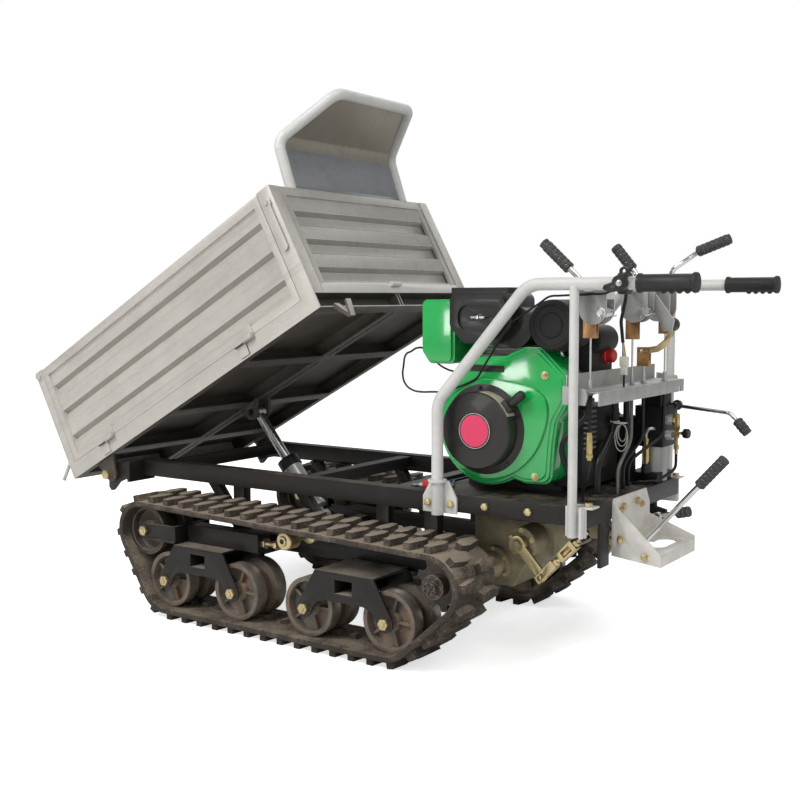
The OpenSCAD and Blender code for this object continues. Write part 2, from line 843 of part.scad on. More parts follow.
// Fixed panel at the engine end of the bed
module head_panel() {
  y1 = bed_half - 42;
  color([0.76, 0.75, 0.72]) in_bed() union() {
    plate_y(-y1, 2 * y1) translate([bed_len - 6, 0]) polygon(panel_points(skirt_h + floor_t, bed_h - 10));
    box([bed_len - 30, -y1, bed_h - 26], [bed_len - 1, y1, bed_h]);
    box([bed_len - 12, -y1, skirt_h + floor_t], [bed_len, y1, skirt_h + 28]);
    for (y = [-y1, y1 - 22]) {
      box([bed_len - 12, y, skirt_h + floor_t], [bed_len - 2, y + 22, bed_h]);
    }
    bar_along_y(bed_len + 5, skirt_h + 26, 7, -22, 22);
  }
}

// Tubular head guard, cut flat on the head panel, with one folded sheet
module head_guard() {
  foot = [bed_len - 15, bed_h];
  knee = [bed_len + 10, bed_h + 144];
  top = [bed_len + 190, bed_h + 190];
  y0 = 265;
  y2 = 174;
  low = foot - 10 * dir(foot, knee);
  color([0.8, 0.8, 0.79]) in_bed() difference() {
    union() {
      pipe([
        [low[0], -y0, low[1]], [knee[0], -y0, knee[1]], [top[0], -y2, top[1]],
        [top[0], y2, top[1]], [knee[0], y0, knee[1]], [low[0], y0, low[1]]
      ], guard_r, 40);
      guard_sheet(foot + 14 * dir(foot, knee), knee, top - 9 * dir(knee, top), y0, y2);
    }
    box([low[0] - 40, -y0 - 40, bed_h - 60], [low[0] + 60, y0 + 40, bed_h]);
  }
}

// Edge line of a folded sheet from a to c, off millimetres outside its middle
function fold_line(a, b, c, r, off) =
  let (
    d = dir(a, b), e = dir(b, c), s = atan2(d[1], d[0]) + 90, t = atan2(e[1], e[0]) + 90,
    centre = b - d * r * tan(turn(a, b, c) / 2) - r * unit(s)
  )
    concat(
      [a + off * unit(s)],
      [for (k = [0 : 8]) centre + (r + off) * unit(s + (t - s) * k / 8)],
      [c + off * unit(t)]
    );

// Folded sheet between the guard tubes
module guard_sheet(a, b, c, y0, y2) {
  inner = fold_line(a, b, c, 40, -1.5);
  intersection() {
    plate_y(-y0, 2 * y0) polygon(concat(
      fold_line(a, b, c, 40, 1.5), [for (k = [len(inner) - 1 : -1 : 0]) inner[k]]
    ));
    translate([0, 0, a[1] - 10]) linear_extrude(c[1] - a[1] + 20) polygon([
      [a[0] - 60, -y0], [b[0], -y0], [c[0] + 12, -y2], [c[0] + 12, y2], [b[0], y0], [a[0] - 60, y0]
    ]);
  }
}

// Drop side of the bed
module side_gate(side) {
  color([0.77, 0.76, 0.73]) in_bed() on_side(side) union() {
    plate_x(gate_u0 + 6, gate_u1 - gate_u0 - 12)
      translate([-bed_half + 8, 0]) mirror([1, 0]) polygon(panel_points(skirt_h + 12, bed_h - 14));
    box([gate_u0, -bed_half, bed_h - 30], [gate_u1, -bed_half + 30, bed_h - 4]);
    box([gate_u0, -bed_half, skirt_h + 4], [gate_u1, -bed_half + 26, skirt_h + 26]);
    for (u = [gate_u0, gate_u1 - 22]) {
      box([u, -bed_half, skirt_h + 4], [u + 22, -bed_half + 26, bed_h - 4]);
    }
    for (h = gate_hinges) {
      difference() {
        union() {
          bar_along_x(-gate_axis_y, gate_axis_w, 8, h, h + 36);
          box([h, -bed_half - 3, skirt_h + 4.5], [h + 36, -bed_half + 1, skirt_h + 36]);
        }
        bar_along_x(-gate_axis_y, gate_axis_w, 4 + fit, h - 5, h + 45);
      }
    }
  }
}

module side_gate_left() {
  side_gate(-1);
}

module side_gate_right() {
  side_gate(1);
}

// Top-hung gate at the dump end
module tailgate() {
  y1 = bed_half - 34;
  color([0.75, 0.74, 0.71]) in_bed() union() {
    plate_y(-y1, 2 * y1) translate([5, 0]) mirror([1, 0]) polygon(panel_points(skirt_h + 12, tail_w - 20));
    box([2, -y1, tail_w - 34], [28, y1, tail_w - 18]);
    box([2, -y1, skirt_h + 6], [22, y1, skirt_h + 28]);
    both_sides() {
      box([2, -y1, skirt_h + 6], [26, -y1 + 18, tail_w - 18]);
      plate_y(-y1, 12) difference() {
        union() {
          translate([tail_u, tail_w]) circle(13);
          translate([tail_u - 12, tail_w - 30]) square([24, 30]);
        }
        translate([tail_u, tail_w]) circle(6 + fit);
      }
      box([-12, -y1 + 40, skirt_h + 8], [3, -y1 + 60, skirt_h + 26]);
    }
    bar_along_y(-8, skirt_h + 17, 5, -bed_half + 12, bed_half - 12);
    bar_between([-8, -bed_half + 14, skirt_h + 17], [-42, -bed_half - 6, skirt_h - 28], 5.5);
  }
}

// Lever latch on an engine-end post
module gate_latch(side) {
  color([0.72, 0.71, 0.68]) in_bed() on_side(side) translate([bed_len - 24, 0, 322]) {
    plate_y(-bed_half - 8, 6) difference() {
      union() {
        circle(14);
        translate([-10, -130]) square([20, 130]);
        translate([0, -130]) circle(10);
      }
      circle(6 + fit);
    }
  }
}

module gate_latch_left() {
  gate_latch(-1);
}

module gate_latch_right() {
  gate_latch(1);
}

// Place the children on the lift cylinder: x from the foot pin along the rod
module on_cylinder() {
  translate([foot_x, 0, foot_z]) rotate([0, -cyl_angle, 0]) children();
}

// Barrel of the lift cylinder
module lift_cylinder() {
  color([0.12, 0.12, 0.12]) on_cylinder() difference() {
    union() {
      plate_y(-22, 44) circle(20);
      bar_along_x(0, 0, 16, 10, 32);
      bar_along_x(0, 0, barrel_r, 30, barrel_len - 30);
      bar_along_x(0, 0, barrel_r + 4, barrel_len - 32, barrel_len);
      bar_along_x(0, 0, barrel_r + 3, 30, 42);
      translate([52, 0, barrel_r - 4]) cylinder(r = 9, h = 16);
    }
    bar_along_y(0, 0, axle_r + fit, -30, 30);
    bar_along_x(0, 0, rod_r + 5, 48, barrel_len - 28);
    bar_along_x(0, 0, rod_r + fit, barrel_len - 29, barrel_len + 10);
  }
}

// Rod of the lift cylinder with its eye and pin stub
module lift_rod() {
  color([0.82, 0.82, 0.83]) on_cylinder() union() {
    bar_along_x(0, 0, rod_r, barrel_len - 14, cyl_len - 16);
    plate_y(-18, 36) translate([cyl_len, 0]) circle(20);
    bar_along_y(cyl_len, 0, 10, -22, 22);
  }
}

// Handlebar frame: bars, posts, cross tube, lever brackets and clamps
module handlebar() {
  color([0.8, 0.79, 0.77]) union() {
    both_sides() handlebar_side();
    bar_spans();
    for (y = lever_ys) {
      lever_tab(y, y < -100 ? 1 : -1);
    }
    bar_along_y(tab_x, bar_z - 6, 12, 20, 118);
    plate_y(crank_y - 30, 5) polygon([
      [tab_x - 14, bar_z], [tab_x + 16, bar_z], [pedal_x + 20, pedal_z + 12], [pedal_x + 14, pedal_z - 16],
      [pedal_x - 10, pedal_z - 16], [pedal_x - 20, pedal_z + 12]
    ]);
    bar_along_y(pedal_x, pedal_z, 8, crank_y - 26, crank_y + 24);
  }
}

// Cross tubes between the lever brackets
module bar_spans() {
  edges = concat([-bar_y], [for (y = lever_ys) each [y - tab_gap / 2, y + tab_gap / 2]], [bar_y]);
  for (k = [0 : 2 : len(edges) - 1]) {
    bar_along_y(tab_x, bar_z - 6, 12, edges[k], edges[k + 1]);
  }
}

// Pair of bracket plates joined by a web
module lever_tab(y, web) {
  for (s = [-1, 1]) {
    plate_y(y + s * tab_gap / 2 - tab_t / 2, tab_t) union() {
      translate([tab_x, lever_z + 6]) circle(tab_half);
      translate([tab_x - tab_half, lever_z + 6]) square([2 * tab_half, bar_z - lever_z]);
    }
  }
  box([tab_x + web * tab_half - (web > 0 ? 4 : 0), y - tab_gap / 2, lever_z + 30],
      [tab_x + web * tab_half + (web > 0 ? 0 : 4), y + tab_gap / 2, bar_z + 6]);
  bar_along_y(lever_pivot_x(y), lever_z, 6, y - tab_gap / 2 - 7, y + tab_gap / 2 + 7);
}

// Pivot of the lever at y
function lever_pivot_x(y) = y > 100 ? tab_x - 18 : tab_x + 22;

// Left half of the handlebar frame
module handlebar_side() {
  pipe([[front_x, -front_y, deck_top - 53], [front_x, -front_y, bend_z], [658, -bar_y, bar_z],
        [grip_x0 + grip_len - 6, -bar_y, bar_z]], bar_r, 70);
  translate([post_x, -post_y, deck_top - 68]) cylinder(r = post_r, h = bar_z - deck_top + 64);
  front_bracket();
  rear_bracket();
}

// Foot bracket of the front post, left side
module front_bracket() {
  plate_y(-deck_half - 6, 6) polygon([
    [front_x - 50, deck_top - 50], [front_x + 50, deck_top - 50], [front_x + 50, deck_top - 10],
    [front_x + 26, deck_top + 32], [front_x - 26, deck_top + 32], [front_x - 50, deck_top - 10]
  ]);
  translate([front_x, -front_y, deck_top + 30]) cylinder(r = 24, h = 6);
}

// Clamp of the rear post, left side
module rear_bracket() {
  plate_y(-deck_half - 6, 6) translate([post_x - 20, deck_top - 68]) square([52, 72]);
  box([post_x - 20, -deck_half - 6, deck_top], [post_x + 48, -deck_half + 34, deck_top + 4]);
  box([post_x + 22, -deck_half - 22, deck_top - 68], [post_x + 28, -deck_half - 2, deck_top + 4]);
}

// Rubber hand grips with finger swells
module handle_grips() {
  color([0.1, 0.1, 0.1]) both_sides()
    translate([grip_x0, -bar_y, bar_z]) rotate([0, 90, 0]) {
      difference() {
        union() {
          rotate_extrude() polygon([
            [bar_r + fit, 0], [22, 0], [22, 6], [19.5, 10], [19.5, grip_len - 12], [23, grip_len - 6],
            [22, grip_len], [0, grip_len], [0, grip_len - 5], [bar_r + fit, grip_len - 5]
          ]);
          for (z = [58, 76, 94, 112]) {
            translate([17, 0, z]) sphere(7);
          }
        }
        translate([0, 0, -1]) cylinder(r = bar_r + fit, h = grip_len - 4);
      }
    }
}

// Knurled lever grip along Z: profile with rings
module knurled_grip(len) {
  rings = floor(len / 12);
  rotate_extrude() polygon(concat(
    [[0, 0], [11, 0]],
    [for (k = [0 : rings - 1]) each [[14, 3 + k * 12], [14, 10 + k * 12], [12.4, 11.4 + k * 12]]],
    [[13, len - 1], [11, len], [0, len]]
  ));
}

// Control lever: boss, crank, bent rod and grip
module control_lever(y, bend, g0, g1, pin) {
  px = lever_pivot_x(y);
  p = [px, y, lever_z];
  d = dir(g0, g1);
  difference() {
    union() {
      bar_along_y(px, lever_z, 13, y - tab_gap / 2 + tab_t / 2 + slip, y + tab_gap / 2 - tab_t / 2 - slip);
      pipe([p + dir(p, bend) * 9, bend, g0 + d * 6], 6.5, 26);
      translate(g0) rotate([0, acos(d[2]), atan2(d[1], d[0])]) knurled_grip(norm(g1 - g0));
      plate_y(y - 2, 4) crank_outline([px, lever_z], pin, 9);
      bar_along_y(pin[0], pin[1], 4, y - 9, y + 9);
    }
    bar_along_y(px, lever_z, 6 + fit, y - 40, y + 40);
  }
}

// Flat arm between two points
module crank_outline(a, b, r) {
  d = (b - a) / norm(b - a);
  n = [-d[1], d[0]] * r;
  polygon([a + n, b + n, b - n, a - n]);
  translate(b) circle(r);
}

module steer_lever_left() {
  y = lever_ys[0];
  color([0.2, 0.2, 0.2]) control_lever(
    y, [796, y, lever_z + 49], [738, y, lever_z + 101], [668, y, lever_z + 165], [793, lever_z - 16]
  );
}

module steer_lever_right() {
  y = lever_ys[1];
  color([0.2, 0.2, 0.2]) control_lever(
    y, [810, y, lever_z + 82], [794, y, lever_z + 104], [746, y, lever_z + 161], [796, lever_z - 22]
  );
}

module clutch_lever() {
  y = lever_ys[2];
  color([0.2, 0.2, 0.2]) control_lever(
    y, [842, y, lever_z + 107], [904, y, lever_z + 149], [988, y, lever_z + 180], [822, lever_z - 16]
  );
}

// Curved brake crank on its rubber-covered boss
module brake_crank() {
  color([0.75, 0.7, 0.5]) difference() {
    union() {
      bar_along_y(pedal_x, pedal_z, 17, crank_y - 22, crank_y + 18);
      plate_y(crank_y - 2.5, 5) translate([pedal_x, pedal_z]) polygon([
        [8, -12], [-6, -16], [-16, -38], [-36, -54], [-60, -58], [-75, -64], [-80, -74], [-72, -78],
        [-60, -74], [-32, -69], [-8, -54], [4, -30], [14, -4]
      ]);
      bar_along_y(pedal_x - 70, pedal_z - 68, 4, crank_y - 9, crank_y + 10);
    }
    bar_along_y(pedal_x, pedal_z, 8 + fit, crank_y - 40, crank_y + 40);
  }
}

// Throttle lever clamped beside the near grip
module throttle_lever() {
  color([0.09, 0.09, 0.09]) translate([grip_x0 - 34, -bar_y, bar_z]) difference() {
    union() {
      bar_along_x(0, 0, 25, -10, 12);
      translate([0, -30, 0]) rotate([-90, 0, 0]) cylinder(r = 18, h = 12);
      plate_y(-30, 8) polygon([[10, 10], [-36, -4], [-40, -12], [-30, -18], [4, -18]]);
      plate_y(-30, 8) translate([10, 26]) circle(10);
      plate_y(-30, 8) polygon([[-4, 10], [4, 30], [18, 22], [14, 0]]);
    }
    bar_along_x(0, 0, bar_r + fit, -40, 40);
    bar_along_y(10, 26, 5, -40, 0);
  }
}

// Cable shelf between the rear posts
module cable_shelf() {
  y0 = -deck_half + 19;
  y1 = deck_half - 19;
  color([0.66, 0.66, 0.66]) difference() {
    union() {
      box([shelf_x - 50, y0, shelf_z - 3], [shelf_x + 36, y1, shelf_z]);
      box([shelf_x + 33, y0, shelf_z - 32], [shelf_x + 36, y1, shelf_z]);
      box([shelf_x - 50, y0, shelf_z - 3], [shelf_x - 47, y1, shelf_z + 38]);
      both_sides() plate_y(-post_y + post_r + 0.3, 4)
        polygon([[post_x - 34, shelf_z - 30], [post_x + 24, shelf_z - 30], [post_x + 30, shelf_z - 10],
                 [post_x + 24, shelf_z + 8], [post_x - 34, shelf_z + 14]]);
      both_sides() box([post_x - 30, -post_y + post_r + 2, shelf_z - 8], [post_x + 20, y0 + 2, shelf_z - 2]);
    }
    for (p = shelf_holes()) translate([p[0], p[1], shelf_z - 10]) cylinder(r = 5, h = 20);
    box([shelf_x + 30, y1 - 34, shelf_z - 34], [shelf_x + 40, y1 - 24, shelf_z - 18]);
  }
}

// Where the four control wires pass the shelf
function shelf_holes() =
  [[793, lever_ys[0]], [796, lever_ys[1]], [822, lever_ys[2]], [802, crank_y]];

// Clevis and wire that a lever pulls
module cable_link(x, y, z, drop) {
  color([0.66, 0.42, 0.24]) union() {
    difference() {
      box([x - 16, y - 8, z - drop], [x + 16, y + 8, z + 10]);
      box([x - 17, y - 3.2, z - drop + 14], [x + 17, y + 3.2, z + 11]);
      for (dx = [-8, 8]) bar_along_y(x + dx, z, 5, y - 20, y + 20);
      box([x - 8, y - 20, z - 5], [x + 8, y + 20, z + 5]);
    }
    translate([x, y, shelf_z - 30]) cylinder(r = 2.4, h = z - drop - shelf_z + 31);
  }
}

module cable_link_1() {
  cable_link(793, lever_ys[0], lever_z - 16, 44);
}

module cable_link_2() {
  cable_link(796, lever_ys[1], lever_z - 22, 48);
}

module cable_link_3() {
  cable_link(822, lever_ys[2], lever_z - 16, 44);
}

module cable_link_4() {
  cable_link(802, crank_y, pedal_z - 68, 38);
}

// Cable sheaths below the shelf, hydraulic hoses and the loose control cable
module cable_sheaths() {
  ends = [[762, -205, 520], [786, -56, 560], [760, 70, 560], [768, 20, 560]];
  color([0.12, 0.12, 0.12]) {
    for (k = [0 : 3]) {
      sheath(shelf_holes()[k], ends[k], ends[k][2]);
    }
    pipe([[770, -40, shelf_z - 3.2], [770, -40, 600], [758, -116, 510], [758, -116, deck_top + 0.2]], 9, 70);
    pipe([[772, 24, shelf_z - 3.2], [772, 24, 560], [744, 50, 490], [744, 50, deck_top + 0.2]], 8, 64);
    pipe([
      [752, -150, shelf_z - 3.2], [752, -150, 640], [690, -192, 560], [716, -176, 478], [716, -176, deck_top + 0.2]
    ], 7, 56);
    pipe([
      [889.6, -274, 935], [868, -274, 935], [840, -262.8, 927], [700, -262.8, 922], [590, -260, 856],
      [475, -224, 714], [392, -230, 680], [302, -240, 676], [258, -236, 700], [258, -226, 770], [262, -150, 792],
      [300, -110, 732], [420.8, -90, 701]
    ], 2.6, 20);
  }
}

// One sheath from the shelf to the deck, bending at height h
module sheath(top, foot, h) {
  difference() {
    union() {
      pipe([
        [top[0], top[1], shelf_z - 4], [top[0], top[1], h], [foot[0], foot[1], h - 66],
        [foot[0], foot[1], deck_top + 0.2]
      ], 4.5, 46);
      translate([top[0], top[1], h + 50]) cylinder(r = 7, h = 40);
    }
    translate([top[0], top[1], shelf_z - 60]) cylinder(r = 3, h = 70);
  }
}

// Hydraulic valve, pump can and fittings at the far rear corner
module control_valve() {
  color([0.09, 0.09, 0.09]) difference() {
    union() {
      box([738, 160, 524], [816, 262, 632]);
      box([752, 168, 632], [806, 240, 668]);
      translate([776, 206, deck_top]) cylinder(r = 34, h = 96);
      box([726, 150, deck_top], [806, deck_half - 36, deck_top + 26]);
      for (z = [556, 596]) bar_along_x(186, z, 13, 815, 834);
      bar_along_y(812, 628, 9, 240, 280);
    }
    for (z = [556, 596]) bar_along_x(186, z, 7, 818, 840);
  }
}

// Hand lever of the hydraulic valve
module valve_lever() {
  y = 277;
  color([0.75, 0.75, 0.75]) difference() {
    union() {
      bar_along_y(812, 628, 14, y - 7, y + 1);
      pipe([[812, y - 3, 626], [954, y - 3, 614], [976, y - 3, 594]], 5.5, 20);
      translate([974, y - 3, 596]) rotate([0, 138, 0]) knurled_grip(46);
    }
    bar_along_y(812, 628, 9 + fit, y - 20, y + 20);
  }
}

// Bent bracket of the gear shift
module shift_gate() {
  y0 = -150;
  y1 = 76;
  color([0.74, 0.74, 0.73]) difference() {
    union() {
      plate_x(deck_x1, 4) polygon([
        [y0, gate_z - 10], [y1, gate_z - 10], [y1, deck_top - 34], [y1 - 24, deck_top + 4],
        [y0 + 10, deck_top + 4], [y0, deck_top - 4]
      ]);
      box([deck_x1, y0, gate_z], [940, y1, gate_z + 4]);
      box([937, y0, gate_z - 26], [940, y1, gate_z + 4]);
      plate_y(y0, 4) polygon([[deck_x1, deck_top - 4], [deck_x1, gate_z - 12], [940, gate_z - 26], [940, gate_z + 4]]);
      plate_y(y1 - 4, 4) polygon([[deck_x1, gate_z + 60], [deck_x1, gate_z], [940, gate_z], [940, gate_z + 14]]);
      for (y = [-46, 0]) {
        plate_y(y, 6) union() {
          translate([shift_x, shift_z]) circle(12);
          translate([shift_x - 12, shift_z]) square([24, gate_z - shift_z + 2]);
        }
      }
      bar_along_y(shift_x, shift_z, 5, -48, 8);
    }
    translate([0, 0, gate_z - 5]) linear_extrude(12) round_rect(824, -36, 908, -2, 16);
    translate([0, 0, gate_z - 5]) linear_extrude(12) round_rect(862, -70, 912, 46, 24);
    for (p = [[838, 336], [900, 300]]) {
      plate_y(y0 - 5, 14) round_rect(p[0] - 11, p[1] - 4.6, p[0] + 11, p[1] + 4.6, 4.4);
    }
  }
}

// Gear shift lever
module shift_lever() {
  y = -20;
  d = dir([shift_x, y, shift_z], [984, y, 465]);
  p = [shift_x, y, shift_z];
  g = p + d * 228;
  color([0.2, 0.2, 0.2]) difference() {
    union() {
      bar_along_y(shift_x, shift_z, 10, y - 14, y + 14);
      bar_between(p + d * 6, g + d * 4, 7);
      translate(g) rotate([0, acos(d[2]), 0]) knurled_grip(96);
    }
    bar_along_y(shift_x, shift_z, 5 + fit, y - 30, y + 30);
  }
}

// Short range lever behind the shift gate
module range_lever() {
  color([0.2, 0.2, 0.2]) difference() {
    union() {
      bar_along_y(828, 352, 11, 96, 118);
      bar_between([834, 107, 354], [884, 107, 366], 6);
      translate([878, 107, 364]) rotate([0, 76, 0]) knurled_grip(38);
    }
    bar_along_y(828, 352, 6 + fit, 80, 140);
  }
}

// Gearbox with axle housings, brake covers and hangers
module gearbox() {
  color([0.5, 0.49, 0.46]) difference() {
    union() {
      plate_y(-110, 220) polygon([
        [405, 345], [405, 210], [440, 165], [520, 165], [560, 240], [640, 262], [640, 345]
      ]);
      both_sides() {
        bar_along_y(sprocket_x, sprocket_z, 36, -246, -100);
        bar_along_y(sprocket_x, sprocket_z, 48, -128, -100);
        bar_along_y(brake_x, brake_z, 40, -184, -100);
        bar_along_y(brake_x, brake_z, 12, -215, -180);
        box([420, -106, 340], [450, -60, deck_top - 4]);
        box([610, -106, 340], [640, -60, deck_top - 4]);
      }
      box([630, 20, 290], [700, 60, 330]);
      bar_along_x(40, 310, 12, 690, 790);
    }
    both_sides() bar_along_y(sprocket_x, sprocket_z, 15 + fit, -260, -112);
  }
}

// Steering brake arm
module brake_arm(side) {
  color([0.75, 0.7, 0.5]) on_side(side) difference() {
    union() {
      plate_y(-brake_y - 4, 8) crank_outline([brake_x, brake_z], brake_ends, 13);
      bar_along_y(brake_x, brake_z, 22, -brake_y - 8, -brake_y + 8);
      bar_along_y(brake_ends[0], brake_ends[1], 5, -brake_y - 14, -brake_y + 14);
    }
    bar_along_y(brake_x, brake_z, 12 + fit, -brake_y - 30, -brake_y + 30);
  }
}

module brake_arm_left() {
  brake_arm(-1);
}

module brake_arm_right() {
  brake_arm(1);
}

// Turnbuckle and rod that pull a brake arm
module brake_rod(side) {
  color([0.75, 0.7, 0.5]) on_side(side)
    translate([brake_ends[0], -brake_y, brake_ends[1]]) rotate([0, -rod_angle, 0]) union() {
      difference() {
        box([-16, -12, -11], [52, 12, 11]);
        box([-18, -5.5, -12], [26, 5.5, 12]);
        for (dx = [-5, 5]) bar_along_y(dx, 0, 5.8, -20, 20);
        box([-5, -20, -5.8], [5, 20, 5.8]);
      }
      hex_x(0, 0, 18, 52, 62);
      bar_along_x(0, 0, 6, 52, 176);
      difference() {
        box([74, -13, -13], [128, 13, 13]);
        box([86, -14, -8], [116, 14, 8]);
      }
      hex_x(0, 0, 18, 128, 138);
    }
}

module brake_rod_left() {
  brake_rod(-1);
}

module brake_rod_right() {
  brake_rod(1);
}

// Guard over the drive belt on the far side
module belt_guard() {
  y0 = 118.3;
  color([0.1, 0.1, 0.1]) difference() {
    plate_y(y0, 72) guard_outline(0);
    plate_y(y0 - 1, 69) guard_outline(4);
  }
}

// Outline of the belt guard, drawn in by a margin
module guard_outline(m) {
  polygon(concat(
    [for (a = [0 : 12 : 180]) [crank_x, crank_z] + (62 - m) * unit(a)],
    [for (a = [180 : 12 : 360]) [465, 340] + (66 - m) * unit(a)]
  ));
}

// Crankcase, finned cylinder, head and exhaust stub
module engine_block() {
  color([0.3, 0.3, 0.3]) union() {
    box([400, -118, deck_top + 14], [640, 118, 650]);
    box([390, -118, deck_top], [660, -70, deck_top + 16]);
    box([390, 70, deck_top], [660, 118, deck_top + 16]);
    bar_along_y(crank_x, crank_z, 28, 110, 147);
    box([440, -80, 645], [630, 70, 800]);
    for (z = [664 : 17 : 783]) {
      box([424, -110, z], [662, 96, z + 6]);
    }
    box([432, -96, 800], [640, 84, 836]);
    box([456, -60, 836], [610, 50, 868]);
    engine_rear();
    bar_along_y(691, 824, 20, -115.8, -70);
    box([636, -92, 806], [704, -66, 840]);
  }
}

// Timing cover, ribbed sump side and governor drum at the operator's end of the engine
module engine_rear() {
  box([636, -104, deck_top + 14], [712, 104, 642]);
  for (z = [540 : 13 : 631]) {
    box([706, -98, z], [722, -44, z + 5]);
  }
  bar_along_x(-4, 520, 34, 706, 726);
  bar_along_x(56, 596, 22, 706, 728);
  box([624, -68, 690], [716, 56, 798]);
  bar_along_y(702, 812, 36, -60, 46);
  for (a = [0 : 40 : 320]) {
    translate([702, -64, 812]) rotate([0, a, 0]) box([20, 0, -3], [32, 8, 3]);
  }
}

// Flywheel shroud with its air duct, stepped in towards its near face
module fan_shroud() {
  steps = [[0, 13], [5, 5], [13, 0]];
  color([0.05, 0.55, 0.2]) difference() {
    for (k = steps) {
      plate_y(shroud_y + k[0], -118.3 - shroud_y - k[0]) shroud_outline(k[1]);
    }
    plate_y(shroud_y + 12, 90) shroud_outline(18);
    bar_along_y(crank_x, crank_z, recoil_r - 30, shroud_y - 10, shroud_y + 30);
  }
}

// Outline of the shroud, drawn in by a margin
module shroud_outline(m) {
  duct = [
    [40, -112], [107, -131], [180, -128], [187, -26], [194, 26], [226, 84], [222, 140], [150, 208], [104, 208],
    [49, 184], [-34, 180], [-112, 78]
  ];
  translate([crank_x, crank_z]) {
    circle(shroud_r - m);
    polygon(rounded(drawn_in(duct, m), 24));
  }
}

// Recoil starter: flange, vent band, flat cover, rope guide and pull handle
module recoil_starter() {
  cover_r = recoil_r - 7;
  front = shroud_y - 52;
  color([0.1, 0.1, 0.1]) union() {
    turned_y(crank_x, 0, crank_z) polygon([
      [0, front], [cover_r - 4, front], [cover_r, front + 4], [cover_r, shroud_y - 12],
      [recoil_r + 10, shroud_y - 9], [recoil_r + 10, shroud_y], [0, shroud_y]
    ]);
    turned_y(crank_x, 0, crank_z) polygon([[0, front - 3], [45, front - 3], [47, front - 1], [47, front + 2], [0, front + 2]]);
    translate([crank_x, shroud_y - 30, crank_z]) rotate([0, -38, 0]) {
      box([cover_r - 8, -14, -16], [cover_r + 14, 14, 16]);
      translate([cover_r + 10, 0, 0]) rotate([0, 90, 0]) rotate_extrude() polygon([
        [0, 0], [7, 0], [10, 6], [13, 34], [12, 46], [8, 50], [0, 50]
      ]);
    }
    for (a = [20, 95, 170, 245, 310]) {
      translate([crank_x, 0, crank_z]) rotate([0, -a, 0]) hex_y(recoil_r + 2, 0, 8, shroud_y - 14, shroud_y - 8);
    }
  }
}

// Fuel tank with a chamfered lower corner, filler cap and straps
module fuel_tank() {
  side = [[288, 780], [312, 748], [388, 748], [388, 914], [288, 914]];
  color([0.05, 0.55, 0.2]) union() {
    plate_y(-186, 300) polygon(rounded(side, 16));
    plate_y(-194, 9) polygon(rounded(drawn_in(side, 7), 12));
    translate([350, 40, 914]) cylinder(r = 26, h = 14);
    for (y = [-70, 40]) {
      box([386, y, 806], [431.7, y + 24, 828]);
    }
  }
}

// Air cleaner with a dished face and wing nut
module air_cleaner() {
  color([0.1, 0.1, 0.1]) union() {
    difference() {
      union() {
        plate_y(-216, 120) air_outline(0);
        plate_y(-230, 15) air_outline(10);
        box([394, -212, 930], [560, -110, 944]);
        bar_along_y(560, 846, 52, -184, -100);
      }
      plate_y(-231, 9) round_rect(424, 836, 548, 900, 28);
    }
    turned_y(486, 0, 870) polygon([[0, -240], [5, -240], [8, -228], [8, -216], [0, -216]]);
    box([466, -238, 867], [506, -232, 873]);
  }
}

// Outline of the air cleaner face, drawn in by a margin
module air_outline(m) {
  side = [[391, 846], [432, 804], [530, 804], [571, 850], [571, 933], [391, 933]];
  polygon(rounded(drawn_in(side, m), 24));
}

// Round muffler with pressed rings and an outlet
module muffler() {
  color([0.12, 0.12, 0.12]) union() {
    turned_y(689, 0, 852) polygon([
      [0, -236], [muffler_r - 34, -236], [muffler_r - 31, -233], [muffler_r - 16, -233], [muffler_r - 14, -236],
      [muffler_r - 5, -234], [muffler_r, -228], [muffler_r, -122], [muffler_r - 5, -116], [0, -116]
    ]);
    bar_between([706, -150, 905], [742, -150, 940], 12);
  }
}

track_frame();
fasteners();
track_left();
track_right();
sprocket_left();
sprocket_right();
idler_left();
idler_right();
idler_yokes();
roller_left_1();
roller_left_2();
roller_left_3();
roller_left_4();
roller_right_1();
roller_right_2();
roller_right_3();
roller_right_4();
carrier_roller_left();
carrier_roller_right();
gearbox();
brake_arm_left();
brake_arm_right();
brake_rod_left();
brake_rod_right();
belt_guard();
main_frame();
handlebar();
handle_grips();
cable_shelf();
shift_gate();
steer_lever_left();
steer_lever_right();
clutch_lever();
brake_crank();
throttle_lever();
shift_lever();
range_lever();
valve_lever();
cable_link_1();
cable_link_2();
cable_link_3();
cable_link_4();
cable_sheaths();
bed_frame();
head_panel();
head_guard();
side_gate_left();
side_gate_right();
tailgate();
gate_latch_left();
gate_latch_right();
lift_cylinder();
lift_rod();
control_valve();
engine_block();
fan_shroud();
recoil_starter();
fuel_tank();
air_cleaner();
muffler();
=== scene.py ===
"""Looks of a tracked power carrier: finishes, small fittings, cables, studio and camera.

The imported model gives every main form. Each of its nodes is dressed here as a merged copy with
rolled edges and worn paint, and the small pieces that a maker adds last (bolts, pins, wires,
vents, caps) are modelled beside it.
"""

from __future__ import annotations

import json
import logging
import math
from dataclasses import dataclass, replace
from enum import Enum
from typing import Callable, Sequence

import bpy
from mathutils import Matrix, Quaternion, Vector


